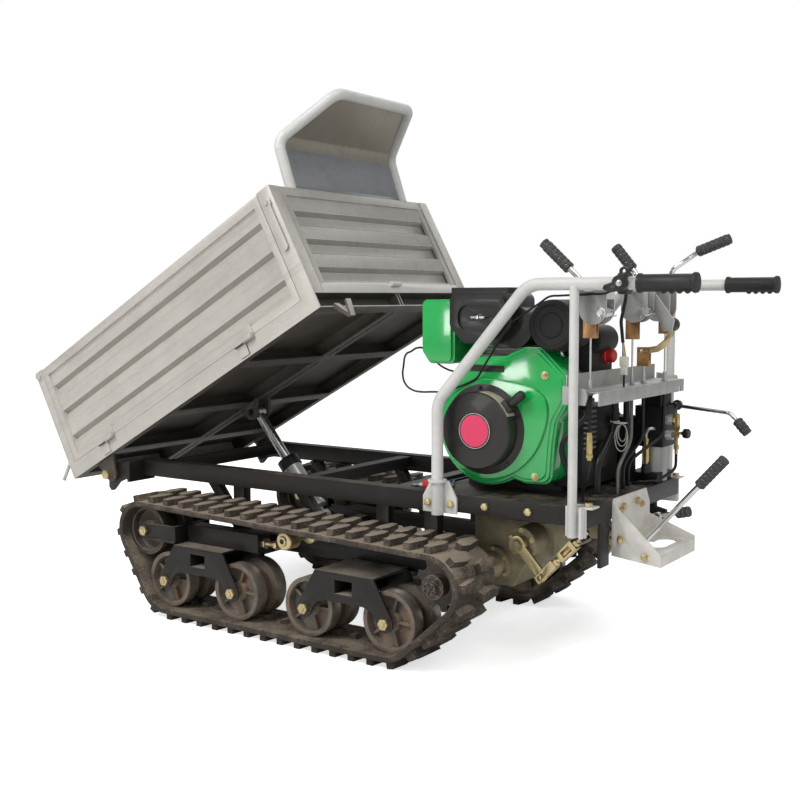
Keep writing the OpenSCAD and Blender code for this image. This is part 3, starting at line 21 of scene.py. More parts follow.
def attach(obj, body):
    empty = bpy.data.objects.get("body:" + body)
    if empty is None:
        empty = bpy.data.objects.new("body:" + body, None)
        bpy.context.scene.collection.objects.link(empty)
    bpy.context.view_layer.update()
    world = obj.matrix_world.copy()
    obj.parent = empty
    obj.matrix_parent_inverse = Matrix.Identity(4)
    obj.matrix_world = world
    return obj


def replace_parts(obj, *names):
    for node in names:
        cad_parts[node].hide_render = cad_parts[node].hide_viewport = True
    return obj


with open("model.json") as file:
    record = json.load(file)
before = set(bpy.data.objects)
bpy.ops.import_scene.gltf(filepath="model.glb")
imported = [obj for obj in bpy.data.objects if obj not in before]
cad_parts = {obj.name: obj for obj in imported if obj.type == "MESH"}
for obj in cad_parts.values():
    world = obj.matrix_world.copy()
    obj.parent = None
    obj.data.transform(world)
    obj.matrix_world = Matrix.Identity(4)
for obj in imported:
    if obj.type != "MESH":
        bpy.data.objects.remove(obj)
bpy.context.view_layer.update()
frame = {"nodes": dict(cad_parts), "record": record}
LOG = logging.getLogger("carrier")

Point = tuple[float, float, float]
Spot = tuple[float, float]
Room = tuple[Spot, Spot, Spot]
Colour = tuple[float, float, float]
Test = Callable[[Vector, Vector], bool]

MM = 0.001
INF = math.inf
ANY = (-INF, INF)
WELD = 2e-6
CAD_WELD = 5e-6
FLAT = 0.6


class Axis(Enum):
    """Directions that a turned piece can lie along."""

    X = (1.0, 0.0, 0.0)
    Y = (0.0, 1.0, 0.0)
    Z = (0.0, 0.0, 1.0)

    @property
    def vector(self) -> Vector:
        """The direction as a vector."""
        return Vector(self.value)


class Side(Enum):
    """The two sides of the machine; the near one is at negative Y."""

    LEFT = -1
    RIGHT = 1

    @property
    def word(self) -> str:
        """The side's name in piece names."""
        return self.name.lower()


class Head(Enum):
    """Bolt heads, by width across flats and height in mm."""

    LOW = (9.0, 4.0)
    SMALL = (9.0, 6.0)
    LARGE = (13.0, 8.0)


class Tip(Enum):
    """What is on a cord's far end."""

    OBJECT = "object"
    CONNECTOR = "connector"
    BARE = "bare"


class Lie(Enum):
    """How a cord lies."""

    HANGING = "hanging"
    COILED = "coiled"


class Shade:
    """A shader value that takes part in Python arithmetic."""

    def __init__(self, graph: "Graph", socket: bpy.types.NodeSocket) -> None:
        """Wrap one output socket.

        Args:
            graph: The graph that owns the socket.
            socket: The output socket.
        """
        self.graph = graph
        self.socket = socket

    def _math(self, operation: str, *terms: "Shade | float") -> "Shade":
        """Add a Math node on values.

        Args:
            operation: The node's operation.
            terms: Values or links in order.

        Returns:
            The node's result.
        """
        return self.graph.node("ShaderNodeMath", {"operation": operation}, dict(enumerate(terms)))

    def __add__(self, other: "Shade | float") -> "Shade":
        """Sum."""
        return self._math("ADD", self, other)

    def __sub__(self, other: "Shade | float") -> "Shade":
        """Difference."""
        return self._math("SUBTRACT", self, other)

    def __rsub__(self, other: float) -> "Shade":
        """Difference from a number."""
        return self._math("SUBTRACT", other, self)

    def __mul__(self, other: "Shade | float") -> "Shade":
        """Product."""
        return self._math("MULTIPLY", self, other)

    __radd__ = __add__
    __rmul__ = __mul__

    def sine(self) -> "Shade":
        """Sine of the value."""
        return self._math("SINE", self)

    def size(self) -> "Shade":
        """Absolute value."""
        return self._math("ABSOLUTE", self)

    def band(self, low: float, high: float) -> "Shade":
        """Smooth step from 0 at low to 1 at high.

        Args:
            low: Value that gives 0.
            high: Value that gives 1.

        Returns:
            The clamped step.
        """
        sockets = {"Value": self, "From Min": low, "From Max": high}
        return self.graph.node("ShaderNodeMapRange", {"interpolation_type": "SMOOTHSTEP"}, sockets)


class Graph:
    """One material's node tree, written as expressions."""

    def __init__(self, name: str) -> None:
        """Start an empty tree.

        Args:
            name: The material's name.
        """
        self.material = bpy.data.materials.new(name)
        self.material.use_nodes = True
        self.tree = self.material.node_tree
        self.tree.nodes.clear()

    def node(
        self, kind: str, settings: dict | None = None, sockets: dict | None = None, output: int | str = 0
    ) -> Shade:
        """Add any node.

        Args:
            kind: Blender's node type.
            settings: Properties, set before the sockets.
            sockets: Values or links by socket name or index.
            output: Output socket to return.

        Returns:
            The chosen output as a value.
        """
        made = self.tree.nodes.new(kind)
        for key, value in (settings or {}).items():
            setattr(made, key, value)
        for key, value in (sockets or {}).items():
            if isinstance(value, Shade):
                self.tree.links.new(value.socket, made.inputs[key])
            else:
                made.inputs[key].default_value = value
        return Shade(self, made.outputs[output])

    def place(self, scale: Point = (1.0, 1.0, 1.0), turn: Point = (0.0, 0.0, 0.0)) -> Shade:
        """Object coordinates in metres, turned and then scaled.

        Args:
            scale: Factors along the three axes.
            turn: Euler angles in radians.

        Returns:
            The coordinates.
        """
        raw = self.node("ShaderNodeTexCoord", output="Object")
        turned = self.node("ShaderNodeMapping", {}, {"Vector": raw, "Rotation": turn})
        return self.node("ShaderNodeMapping", {}, {"Vector": turned, "Scale": scale})

    def part(self, vector: Shade, axis: str) -> Shade:
        """One component of a vector, named X, Y or Z."""
        return self.node("ShaderNodeSeparateXYZ", {}, {0: vector}, axis)

    def facing_up(self) -> Shade:
        """How far the surface faces up, from -1 to 1, on the piece's own axes."""
        return self.part(self.node("ShaderNodeTexCoord", output="Normal"), "Z")

    def noise(self, where: Shade, scale: float, detail: float = 3.0, rough: float = 0.55) -> Shade:
        """Fractal noise from 0 to 1.

        Args:
            where: Coordinates.
            scale: Cells in a metre.
            detail: Octaves.
            rough: Weight of the finer octaves.

        Returns:
            The noise value.
        """
        sockets = {"Vector": where, "Scale": scale, "Detail": detail, "Roughness": rough}
        return self.node("ShaderNodeTexNoise", {}, sockets)

    def mix(self, factor: Shade | float, low: Shade | Colour, high: Shade | Colour) -> Shade:
        """Blend two colours.

        Args:
            factor: Share of the second.
            low: First colour.
            high: Second colour.

        Returns:
            The blended colour.
        """
        pair = [c if isinstance(c, Shade) else (*c, 1.0) for c in (low, high)]
        return self.node("ShaderNodeMix", {"data_type": "RGBA"}, {0: factor, 6: pair[0], 7: pair[1]}, 2)

    def bump(self, height: Shade, strength: float, distance: float, under: Shade | None = None) -> Shade:
        """Surface relief.

        Args:
            height: Height from 0 to 1.
            strength: Share of the effect.
            distance: Full height in metres.
            under: Relief to add to.

        Returns:
            A normal.
        """
        sockets: dict = {"Height": height, "Strength": strength, "Distance": distance}
        if under is not None:
            sockets["Normal"] = under
        return self.node("ShaderNodeBump", {}, sockets)

    def surface(self, **sockets: "Shade | float | Colour") -> bpy.types.Material:
        """Close the tree with a Principled shader.

        Args:
            sockets: Socket names with underscores for spaces.

        Returns:
            The material.
        """
        named = {key.replace("_", " "): value for key, value in sockets.items()}
        for key, value in named.items():
            if isinstance(value, tuple):
                named[key] = (*value, 1.0)
        shader = self.node("ShaderNodeBsdfPrincipled", {}, named)
        self.node_output(shader)
        return self.material

    def node_output(self, shader: Shade) -> None:
        """Link a shader to the material's output."""
        out = self.tree.nodes.new("ShaderNodeOutputMaterial")
        self.tree.links.new(shader.socket, out.inputs["Surface"])


@dataclass(frozen=True)
class Finish:
    """A worn surface: colour, gloss, mottling, dust, rust and fine relief.

    Attributes:
        name: Material name.
        colour: Colour under the dirt.
        rough: Roughness of the clean surface.
        metal: Metallic share.
        coat: Clear coat weight.
        mottle: Depth of the broad colour change.
        mottle_scale: Cells of that change in a metre.
        dust: Cover of dry dust.
        dust_colour: Colour of the dust.
        ground: Height in metres below which dust thickens; 0 for none.
        rust: Cover of rust.
        grain: Height of the fine relief in metres.
        grain_scale: Cells of the relief in a metre.
        streak: Depth of the streaks drawn along one axis.
        streak_scale: Cells of the streaks along the three axes.
        tilt: Turn of the streaks about Y in degrees.
        shine: Specular level.
    """

    name: str
    colour: Colour
    rough: float = 0.45
    metal: float = 0.0
    coat: float = 0.0
    mottle: float = 0.12
    mottle_scale: float = 9.0
    dust: float = 0.0
    dust_colour: Colour = (0.30, 0.255, 0.20)
    ground: float = 0.0
    rust: float = 0.0
    grain: float = 0.0
    grain_scale: float = 900.0
    streak: float = 0.0
    streak_scale: Point = (3.0, 60.0, 60.0)
    tilt: float = 0.0
    shine: float = 0.5

    def material(self) -> bpy.types.Material:
        """The finish as a material, made once."""
        name = f"{self.name}_finish"
        known = bpy.data.materials.get(name)
        return known if known else self._build(Graph(name))

    def _build(self, g: Graph) -> bpy.types.Material:
        """Write the node tree.

        Args:
            g: An empty graph.

        Returns:
            The material.
        """
        where = g.place()
        broad = g.noise(where, self.mottle_scale, 4.0)
        fine = g.noise(where, self.mottle_scale * 11.0, 3.0)
        dark = tuple(c * (1.0 - self.mottle) for c in self.colour)
        light = tuple(min(1.0, c * (1.0 + self.mottle)) for c in self.colour)
        base = g.mix((broad * 0.65 + fine * 0.35).band(0.3, 0.7), dark, light)
        rough = self.rough + (fine - 0.5) * 0.16
        metal: Shade | float = self.metal
        if self.streak:
            lines = g.noise(g.place(self.streak_scale, (0.0, math.radians(self.tilt), 0.0)), 1.0, 3.0)
            mask = lines.band(0.48, 0.72) * self.streak
            base = g.mix(mask, base, tuple(c * 0.45 for c in self.colour))
            rough = rough + mask * 0.1
        if self.rust:
            spots = (broad * 0.5 + fine * 0.5).band(0.62 - self.rust * 0.3, 0.7)
            tone = g.mix(fine, (0.11, 0.045, 0.018), (0.24, 0.11, 0.045))
            base = g.mix(spots, base, tone)
            rough = rough + spots * 0.25
            metal = (1.0 - spots) * self.metal if self.metal else 0.0
        if self.dust:
            up = g.facing_up().band(-0.2, 1.0)
            heap = broad * 0.55 + fine * 0.45 + up * 0.3
            cover = heap.band(0.78 - self.dust * 0.5, 1.12 - self.dust * 0.35)
            if self.ground:
                low = 1.0 - g.part(where, "Z").band(0.0, self.ground)
                cover = (cover + low * 0.35 * (0.4 + fine)).band(0.0, 1.0)
            cover = cover * min(1.0, 0.45 + self.dust)
            base = g.mix(cover, base, self.dust_colour)
            rough = rough + cover * (0.9 - self.rough)
            metal = (1.0 - cover) * metal if self.metal else 0.0
        sockets: dict = {"Base_Color": base, "Roughness": rough, "Metallic": metal, "Coat_Weight": self.coat}
        sockets["Specular_IOR_Level"] = self.shine
        if self.coat:
            sockets["Coat_Roughness"] = 0.08
        if self.grain:
            sockets["Normal"] = g.bump(g.noise(where, self.grain_scale, 2.0), 0.6, self.grain)
        return g.surface(**sockets)


@dataclass(frozen=True)
class Knurl(Finish):
    """Rubber with a raised diamond pattern round a slanted handle.

    Attributes:
        pitch: Diamonds in a metre.
        slant: Share of the height in the pattern's run.
        wind: Share of the width, which crosses the two runs.
        valley: Brightness of the valleys over that of the colour.
        peak: Brightness of the worn peaks.
        height: Height of the peaks in metres.
    """

    pitch: float = 210.0
    slant: float = 0.9
    wind: float = 1.3
    valley: float = 0.5
    peak: float = 4.5
    height: float = 0.0011

    def _build(self, g: Graph) -> bpy.types.Material:
        """Write the node tree.

        Args:
            g: An empty graph.

        Returns:
            The material.
        """
        where = g.place()
        x, y, z = (g.part(where, axis) for axis in "XYZ")
        turns = self.pitch * math.tau * 0.5
        one = ((x + z * self.slant + y * self.wind) * turns).sine()
        two = ((x + z * self.slant - y * self.wind) * turns).sine()
        peaks = (one * two).size().band(0.05, 0.6)
        worn = g.noise(where, 60.0)
        low, high = (tuple(c * share for c in self.colour) for share in (self.valley, self.peak))
        base = g.mix(peaks * (0.4 + worn), low, high)
        relief = g.bump(peaks, 0.9, self.height)
        return g.surface(Base_Color=base, Roughness=self.rough + worn * 0.2, Normal=relief)


# Tip of the bed in the drawn pose, in degrees.
BED_TILT = 28.5

# Bed and handlebar.
GREY_PAINT = Finish(
    "grey_paint", (0.52, 0.49, 0.445), 0.42, 0.3, mottle=0.07, dust=0.1, grain=0.0001, streak=0.2,
    tilt=BED_TILT
)
GREY_EDGE = replace(GREY_PAINT, name="grey_paint_edge", colour=(0.62, 0.60, 0.57), rough=0.36, streak=0.05)
# Groove slopes that face down: a darker copy of the bed paint, painted shade.
GROOVE_SHADE = replace(GREY_PAINT, name="groove_paint", colour=(0.30, 0.272, 0.235), dust=0.2)
# Head panel: a darker copy of the bed paint, painted shade.
HEAD_SHADED_PAINT = replace(GREY_PAINT, name="head_paint", colour=(0.41, 0.39, 0.355))
# Guard sheet: one bare sheet in two colours, tan brown above its fold and bluish grey below it, painted
# reflection and shade. The strip under it takes the grey one.
SHEET_TAN_REFLECTION = replace(
    GREY_PAINT, name="guard_sheet", colour=(0.30, 0.265, 0.215), rough=0.34, metal=0.35, dust=0.0
)
SHEET_GREY_REFLECTION = replace(SHEET_TAN_REFLECTION, name="guard_sheet_low", colour=(0.255, 0.262, 0.275), metal=0.5)
BAR_PAINT = Finish("bar_paint", (0.60, 0.59, 0.565), 0.42, mottle=0.06, dust=0.05, grain=0.0001, streak=0.08)
TAB_STEEL = replace(BAR_PAINT, name="tab_steel", colour=(0.34, 0.335, 0.32), metal=0.3)

# Frame and deck.
BLACK_PAINT = Finish(
    "black_paint", (0.014, 0.011, 0.009), 0.40, mottle=0.25, dust=0.25, ground=0.2, grain=0.00015, shine=0.35
)
BLACK_EDGE = replace(BLACK_PAINT, name="black_paint_edge", colour=(0.042, 0.036, 0.030), rough=0.45)
BOGIE_TOP = replace(BLACK_PAINT, name="bogie_top", colour=(0.060, 0.050, 0.039), dust=0.42, ground=0.0)
DECK_PAINT = replace(BLACK_PAINT, name="deck_paint", colour=(0.015, 0.0118, 0.0095), dust=0.14, ground=0.0)
UNDER_PAINT = Finish("underside_paint", (0.075, 0.062, 0.050), 0.6, mottle=0.3, dust=0.16, grain=0.0002)

# Tracks and wheels.
TRACK_RUBBER = Finish(
    "track_rubber", (0.050, 0.040, 0.031), 0.8, mottle=0.3, mottle_scale=16.0, dust=0.58,
    dust_colour=(0.26, 0.21, 0.16), grain=0.0006, grain_scale=420.0, shine=0.3
)
LUG_EDGE = replace(TRACK_RUBBER, name="track_rubber_edge", colour=(0.16, 0.135, 0.105), dust=0.66)
# Lug tops that face up: thick dust, and a lighter colour that is painted light on the top of the track.
LUG_TOP_DUST_AND_LIGHT = replace(TRACK_RUBBER, name="track_lug_top", colour=(0.13, 0.108, 0.085), dust=0.8)
# Lower run: a darker copy of the track rubber, painted shade under the track.
TRACK_LOW_SHADE = replace(TRACK_RUBBER, name="track_low_run", colour=(0.045, 0.036, 0.028), dust=0.36)
WHEEL_IRON = Finish(
    "wheel_iron", (0.155, 0.135, 0.110), 0.5, 0.3, mottle=0.45, mottle_scale=22.0, dust=0.18,
    dust_colour=(0.33, 0.28, 0.21), rust=0.56, grain=0.0004, grain_scale=500.0
)
IDLER_IRON = replace(WHEEL_IRON, name="idler_iron", colour=(0.060, 0.050, 0.040), dust=0.2, rust=0.25)
WHEEL_TREAD = Finish("wheel_tread", (0.36, 0.32, 0.26), 0.36, 0.7, mottle=0.2, mottle_scale=30.0, dust=0.15)

# Bare and plated metal.
ZINC_YELLOW = Finish("zinc_yellow", (0.60, 0.49, 0.27), 0.34, 0.85, mottle=0.18, mottle_scale=40.0, dust=0.06)
ZINC = Finish("zinc", (0.58, 0.58, 0.57), 0.34, 0.9, mottle=0.12, mottle_scale=40.0)
ROD_STEEL = Finish("rod_steel", (0.34, 0.335, 0.32), 0.24, 0.9, mottle=0.08)
CHROME = Finish("chrome", (0.74, 0.74, 0.74), 0.13, 1.0, mottle=0.04)
BARREL_STEEL = Finish("barrel_steel", (0.46, 0.45, 0.43), 0.36, 0.6, mottle=0.2, mottle_scale=14.0, dust=0.12)
GALVANISED = Finish("galvanised", (0.68, 0.65, 0.60), 0.42, 0.3, mottle=0.12, mottle_scale=28.0, streak=0.08)
SHELF_STEEL = replace(GALVANISED, name="shelf_steel", colour=(0.40, 0.395, 0.37), metal=0.45)
COPPER = Finish("copper", (0.46, 0.25, 0.11), 0.36, 0.85, mottle=0.2, mottle_scale=60.0)
BRASS = Finish("brass", (0.62, 0.46, 0.20), 0.32, 0.9, mottle=0.15, mottle_scale=60.0)

# Grips, cables and hoses.
GRIP_RUBBER = Finish("grip_rubber", (0.020, 0.019, 0.018), 0.5, mottle=0.2, grain=0.0002, shine=0.4)
KNURL = Knurl("knurled_rubber", (0.024, 0.023, 0.022), 0.55)
CABLE = Finish("cable_jacket", (0.008, 0.0075, 0.0075), 0.36, mottle=0.25, mottle_scale=40.0, shine=0.35)
GREY_CABLE = replace(CABLE, name="grey_cable_jacket", colour=(0.14, 0.135, 0.125))

# Gearbox and engine.
GEAR_ALLOY = Finish(
    "gear_alloy", (0.27, 0.235, 0.145), 0.5, 0.4, mottle=0.3, mottle_scale=20.0, dust=0.25, grain=0.0004
)
GREEN = Finish("engine_green", (0.008, 0.39, 0.075), 0.14, coat=1.0, mottle=0.05, grain=0.00005)
GREEN_EDGE = replace(GREEN, name="engine_green_edge", colour=(0.020, 0.46, 0.105))
BLACK_PLASTIC = Finish(
    "black_plastic", (0.014, 0.0125, 0.0115), 0.34, coat=0.1, mottle=0.12, grain=0.00015, shine=0.4
)
STARTER_BLACK = replace(BLACK_PLASTIC, name="starter_black", colour=(0.022, 0.019, 0.017), rough=0.40)
ENGINE_DARK = Finish(
    "engine_casting", (0.020, 0.019, 0.018), 0.55, 0.2, mottle=0.3, mottle_scale=18.0, grain=0.0004
)
FIN_ALLOY = Finish("fin_alloy", (0.26, 0.255, 0.24), 0.45, 0.6, mottle=0.2, mottle_scale=20.0)
HOT_BLACK = Finish("heat_black", (0.010, 0.009, 0.0085), 0.5, mottle=0.25, grain=0.0003, shine=0.3)
SILVER_CAN = Finish("silver_can", (0.34, 0.34, 0.32), 0.4, 0.6, mottle=0.1)

# Caps, discs and wires.
RED_PLASTIC = Finish("red_plastic", (0.56, 0.022, 0.02), 0.35, mottle=0.1)
DISC_RED = Finish("disc_red", (0.70, 0.030, 0.11), 0.34, mottle=0.05, coat=0.2)
WHITE_PLASTIC = Finish("white_plastic", (0.60, 0.58, 0.50), 0.45, mottle=0.08)
COIL_GREY = replace(WHITE_PLASTIC, name="coil_grey", colour=(0.33, 0.32, 0.29))
WIRE_ORANGE = Finish("wire_orange", (0.42, 0.17, 0.04), 0.4, mottle=0.1)
WIRE_BLUE = Finish("wire_blue", (0.03, 0.12, 0.42), 0.4, mottle=0.1)
VENT_MESH = Finish(
    "vent_mesh", (0.60, 0.52, 0.41), 0.40, 0.2, mottle=0.15, mottle_scale=60.0, streak=0.35,
    streak_scale=(420.0, 420.0, 420.0)
)


class Bench:
    """Hand tools: each works on the one mesh that it has picked up.

    Attributes:
        WASHER_R: Radius of a bolt's washer over the width across flats.
        WASHER_T: Thickness of the washer in mm.
        END_R: Radius of a bolt's end over the width across flats.
        END_RISE: How far the end stands out of the head, in mm.
        SINK: How far a bolt's pieces reach into each other, in mm.
    """

    WASHER_R = 0.78
    WASHER_T = 1.8
    END_R = 0.27
    END_RISE = 2.2
    SINK = (0.2, 0.6)

    @staticmethod
    def clear() -> None:
        """Put everything down."""
        if bpy.context.object and bpy.context.object.mode != "OBJECT":
            bpy.ops.object.mode_set(mode="OBJECT")
        bpy.ops.object.select_all(action="DESELECT")

    @classmethod
    def pick(cls, obj: bpy.types.Object) -> None:
        """Select one object and make it active.

        Args:
            obj: The object.
        """
        cls.clear()
        obj.select_set(True)
        bpy.context.view_layer.objects.active = obj

    @classmethod
    def edit(cls, obj: bpy.types.Object) -> None:
        """Open an object's mesh with all of it selected.

        Args:
            obj: The object.
        """
        cls.pick(obj)
        bpy.ops.object.mode_set(mode="EDIT")
        bpy.ops.mesh.select_all(action="SELECT")

    @staticmethod
    def shut() -> None:
        """Close the mesh that is open."""
        bpy.ops.object.mode_set(mode="OBJECT")

    @classmethod
    def keep(cls, name: str) -> bpy.types.Object:
        """Name the active object and apply its place.

        Args:
            name: Its name.

        Returns:
            The object.
        """
        obj = bpy.context.object
        obj.name = obj.data.name = name
        cls.pick(obj)
        bpy.ops.object.transform_apply(location=True, rotation=True, scale=True)
        return obj

    @classmethod
    def block(
        cls, name: str, low: Point, high: Point, round_by: float = 1.5, turn: float = 0.0
    ) -> bpy.types.Object:
        """A block with rolled edges.

        Args:
            name: Piece name.
            low: Low corner in mm.
            high: High corner in mm.
            round_by: Edge radius in mm.
            turn: Turn about Y through its middle, in degrees.

        Returns:
            The block.
        """
        cls.clear()
        centre = [(a + b) / 2 * MM for a, b in zip(low, high)]
        bpy.ops.mesh.primitive_cube_add(size=1.0, location=centre)
        bpy.context.object.scale = [(b - a) * MM for a, b in zip(low, high)]
        bpy.context.object.rotation_euler = (0.0, math.radians(turn), 0.0)
        obj = cls.keep(name)
        cls.roll_edges(obj, round_by)
        return obj

    @classmethod
    def rod(
        cls, name: str, start: Point, end: Point, radius: float, sides: int = 24, round_by: float = 0.6
    ) -> bpy.types.Object:
        """A round or many-sided bar between two points.

        Args:
            name: Piece name.
            start: First end in mm.
            end: Other end in mm.
            radius: Radius in mm.
            sides: Number of flats.
            round_by: Edge radius in mm.

        Returns:
            The bar.
        """
        cls.clear()
        a, b = Vector(start) * MM, Vector(end) * MM
        turn = (b - a).to_track_quat("Z", "Y").to_euler()
        bpy.ops.mesh.primitive_cylinder_add(
            vertices=sides, radius=radius * MM, depth=(b - a).length, location=(a + b) / 2, rotation=turn
        )
        obj = cls.keep(name)
        cls.roll_edges(obj, round_by)
        return obj

    @classmethod
    def lathe(
        cls, name: str, centre: Point, axis: Axis, profile: Sequence[tuple[float, float]], steps: int = 40,
        sweep: tuple[float, float] = (0.0, 360.0)
    ) -> bpy.types.Object:
        """A turned piece: a drawn profile spun about an axis.

        Args:
            name: Piece name.
            centre: Point on the axis in mm.
            axis: Direction of the axis.
            profile: Radius and height of each point in mm.
            steps: Steps of the turn.
            sweep: First and last angle in degrees.

        Returns:
            The turned piece.
        """
        cls.clear()
        start, end = (math.radians(angle) for angle in sweep)
        out = Quaternion(axis.vector, start) @ (Vector((0, 0, 1)) if axis is Axis.X else Vector((1, 0, 0)))
        cls._draw([(Vector(centre) + out * r + axis.vector * h) * MM for r, h in profile])
        bpy.ops.mesh.spin(steps=steps, angle=start - end, center=Vector(centre) * MM, axis=axis.vector)
        bpy.ops.mesh.select_all(action="SELECT")
        bpy.ops.mesh.remove_doubles(threshold=WELD)
        bpy.ops.mesh.fill_holes(sides=0)
        bpy.ops.mesh.normals_make_consistent(inside=False)
        cls.shut()
        obj = cls.keep(name)
        cls.smooth(obj, 35)
        return obj

    @classmethod
    def _draw(cls, path: Sequence[Vector]) -> None:
        """Draw a line of edges in a new mesh and leave it open and selected.

        Args:
            path: The line's points in metres.
        """
        bpy.ops.mesh.primitive_plane_add(size=0.01, location=(0, 0, 0))
        cls.edit(bpy.context.object)
        bpy.ops.mesh.merge(type="CENTER")
        bpy.ops.transform.translate(value=path[0])
        for start, end in zip(path, path[1:]):
            bpy.ops.mesh.extrude_vertices_move(TRANSFORM_OT_translate={"value": end - start})
        bpy.ops.mesh.select_all(action="SELECT")

    @classmethod
    def pad(cls, name: str, outline: Sequence[Vector], way: Point, round_by: float) -> bpy.types.Object:
        """A raised pad: an outline filled, drawn out and rounded.

        Args:
            name: Piece name.
            outline: Its points in metres, in one plane.
            way: How far the pad is drawn out, in mm.
            round_by: Edge radius in mm.

        Returns:
            The pad.
        """
        cls.clear()
        cls._draw(outline)
        bpy.ops.mesh.edge_face_add()
        bpy.ops.mesh.extrude_region_move(TRANSFORM_OT_translate={"value": Vector(way) * MM})
        bpy.ops.mesh.select_all(action="SELECT")
        bpy.ops.mesh.normals_make_consistent(inside=False)
        cls.shut()
        obj = cls.keep(name)
        cls.roll_edges(obj, round_by, segments=4, angle=40.0)
        return obj

    @classmethod
    def roll_edges(
        cls, obj: bpy.types.Object, width: float, segments: int = 2, angle: float = 32.0
    ) -> None:
        """Round the sharp edges with an applied bevel.

        Args:
            obj: The piece.
            width: Bevel width in mm; 0 leaves the edges.
            segments: Bevel segments.
            angle: Sharpest angle left alone, in degrees.
        """
        cls.pick(obj)
        if width:
            bevel = obj.modifiers.new("rolled_edges", "BEVEL")
            bevel.width = width * MM
            bevel.segments = segments
            bevel.limit_method = "ANGLE"
            bevel.angle_limit = math.radians(angle)
            bevel.material = 1 if len(obj.material_slots) > 1 else -1
            bpy.ops.object.modifier_apply(modifier=bevel.name)
        cls.smooth(obj, angle)

    @classmethod
    def smooth(cls, obj: bpy.types.Object, angle: float) -> None:
        """Shade smooth, with edges sharper than an angle in degrees left sharp."""
        cls.pick(obj)
        bpy.ops.object.shade_smooth_by_angle(angle=math.radians(angle))

    @classmethod
    def join(cls, name: str, pieces: Sequence[bpy.types.Object]) -> bpy.types.Object:
        """Join pieces into one object.

        Args:
            name: Name of the result.
            pieces: Pieces in order; the first keeps its place.

        Returns:
            The joined object.
        """
        cls.clear()
        for piece in pieces:
            piece.select_set(True)
        bpy.context.view_layer.objects.active = pieces[0]
        if len(pieces) > 1:
            bpy.ops.object.join()
        return cls.keep(name)

    @classmethod
    def spread(cls, piece: bpy.types.Object, places: Sequence[Point]) -> list[bpy.types.Object]:
        """A piece at the first of several places, and copies of it at the others.

        Args:
            piece: The piece, modelled at the first place.
            places: All places in mm.

        Returns:
            The piece and its copies, each with its own mesh.
        """
        pieces = [piece]
        for place in places[1:]:
            cls.pick(piece)
            bpy.ops.object.duplicate(linked=False)
            bpy.context.object.location = (Vector(place) - Vector(places[0])) * MM
            pieces.append(cls.keep(piece.name))
        return pieces

    @classmethod
    def bolts(cls, name: str, seats: Sequence[Point], way: Point, head: Head) -> list[bpy.types.Object]:
        """Hexagon heads on washers, with rounded ends.

        Args:
            name: Piece name.
            seats: Centres of the seats in mm.
            way: Direction that the heads stand out.
            head: Size of the heads.

        Returns:
            The bolts.
        """
        at, out = Vector(seats[0]), Vector(way).normalized()
        across, height = head.value
        under, inner = cls.SINK
        washer = cls.rod(name, at, at + out * cls.WASHER_T, across * cls.WASHER_R, 28, 0.4)
        start, top = at + out * (cls.WASHER_T - under), at + out * height
        flats = cls.rod(name, start, top, across / math.sqrt(3), 6, 0.9)
        start, top = at + out * (height - inner), at + out * (height + cls.END_RISE)
        end = cls.rod(name, start, top, across * cls.END_R, 16, 0.8)
        return cls.spread(cls.join(name, (washer, flats, end)), seats)


def spline(points: Sequence[Point], steps: int = 8) -> list[Vector]:
    """Smooth line through points, by Catmull and Rom's rule.

    Args:
        points: Points in mm.
        steps: Points in each span.

    Returns:
        Points in metres.
    """
    knots = [Vector(p) * MM for p in points]
    knots = [2 * knots[0] - knots[1], *knots, 2 * knots[-1] - knots[-2]]
    line = []
    for a, b, c, d in zip(knots, knots[1:], knots[2:], knots[3:]):
        for k in range(steps):
            t = k / steps
            square = (2 * a - 5 * b + 4 * c - d) * t**2
            cube = (3 * b - a - 3 * c + d) * t**3
            line.append(0.5 * (2 * b + (c - a) * t + square + cube))
    return [*line, knots[-2]]


def ring(centre: Spot, y: float, radius: float, count: int, start: float) -> list[Point]:
    """Places in a circle on a face that looks along Y.

    Args:
        centre: Centre of the circle, X and Z in mm.
        y: Place of the face in mm.
        radius: Radius of the circle in mm.
        count: Number of places.
        start: Angle of the first in degrees.

    Returns:
        The places in mm.
    """
    turns = [math.radians(360 / count * k + start) for k in range(count)]
    return [(centre[0] + radius * math.cos(t), y, centre[1] + radius * math.sin(t)) for t in turns]


def tube(
    name: str, line: Sequence[Vector], radius: float, finish: Finish, sides: int = 4
) -> bpy.types.Object:
    """A curve with a round section.

    Args:
        name: Piece name.
        line: Centreline in metres.
        radius: Radius in mm.
        finish: Its finish.
        sides: Bevel resolution.

    Returns:
        The curve object.
    """
    data = bpy.data.curves.new(name, "CURVE")
    data.dimensions = "3D"
    data.bevel_depth = radius * MM
    data.bevel_resolution = sides
    data.use_fill_caps = True
    data.resolution_u = 5
    run = data.splines.new("BEZIER")
    run.bezier_points.add(len(line) - 1)
    for point, at in zip(run.bezier_points, line):
        point.co = at
        point.handle_left_type = point.handle_right_type = "AUTO"
    obj = bpy.data.objects.new(name, data)
    bpy.context.collection.objects.link(obj)
    data.materials.append(finish.material())
    return obj


def wire(name: str, points: Sequence[Point], radius: float, finish: Finish) -> bpy.types.Object:
    """A short fixed wire or pipe as a mesh.

    Args:
        name: Piece name.
        points: Points in mm.
        radius: Radius in mm.
        finish: Its finish.

    Returns:
        The mesh object.
    """
    obj = tube(name, spline(points, 3), radius, finish, 2)
    Bench.pick(obj)
    bpy.ops.object.convert(target="MESH")
    Bench.smooth(bpy.context.object, 50)
    return bpy.context.object


def dress(obj: bpy.types.Object, finish: Finish) -> bpy.types.Object:
    """Give an object one finish.

    Args:
        obj: The object.
        finish: Its finish.

    Returns:
        The object.
    """
    obj.data.materials.clear()
    obj.data.materials.append(finish.material())
    return obj


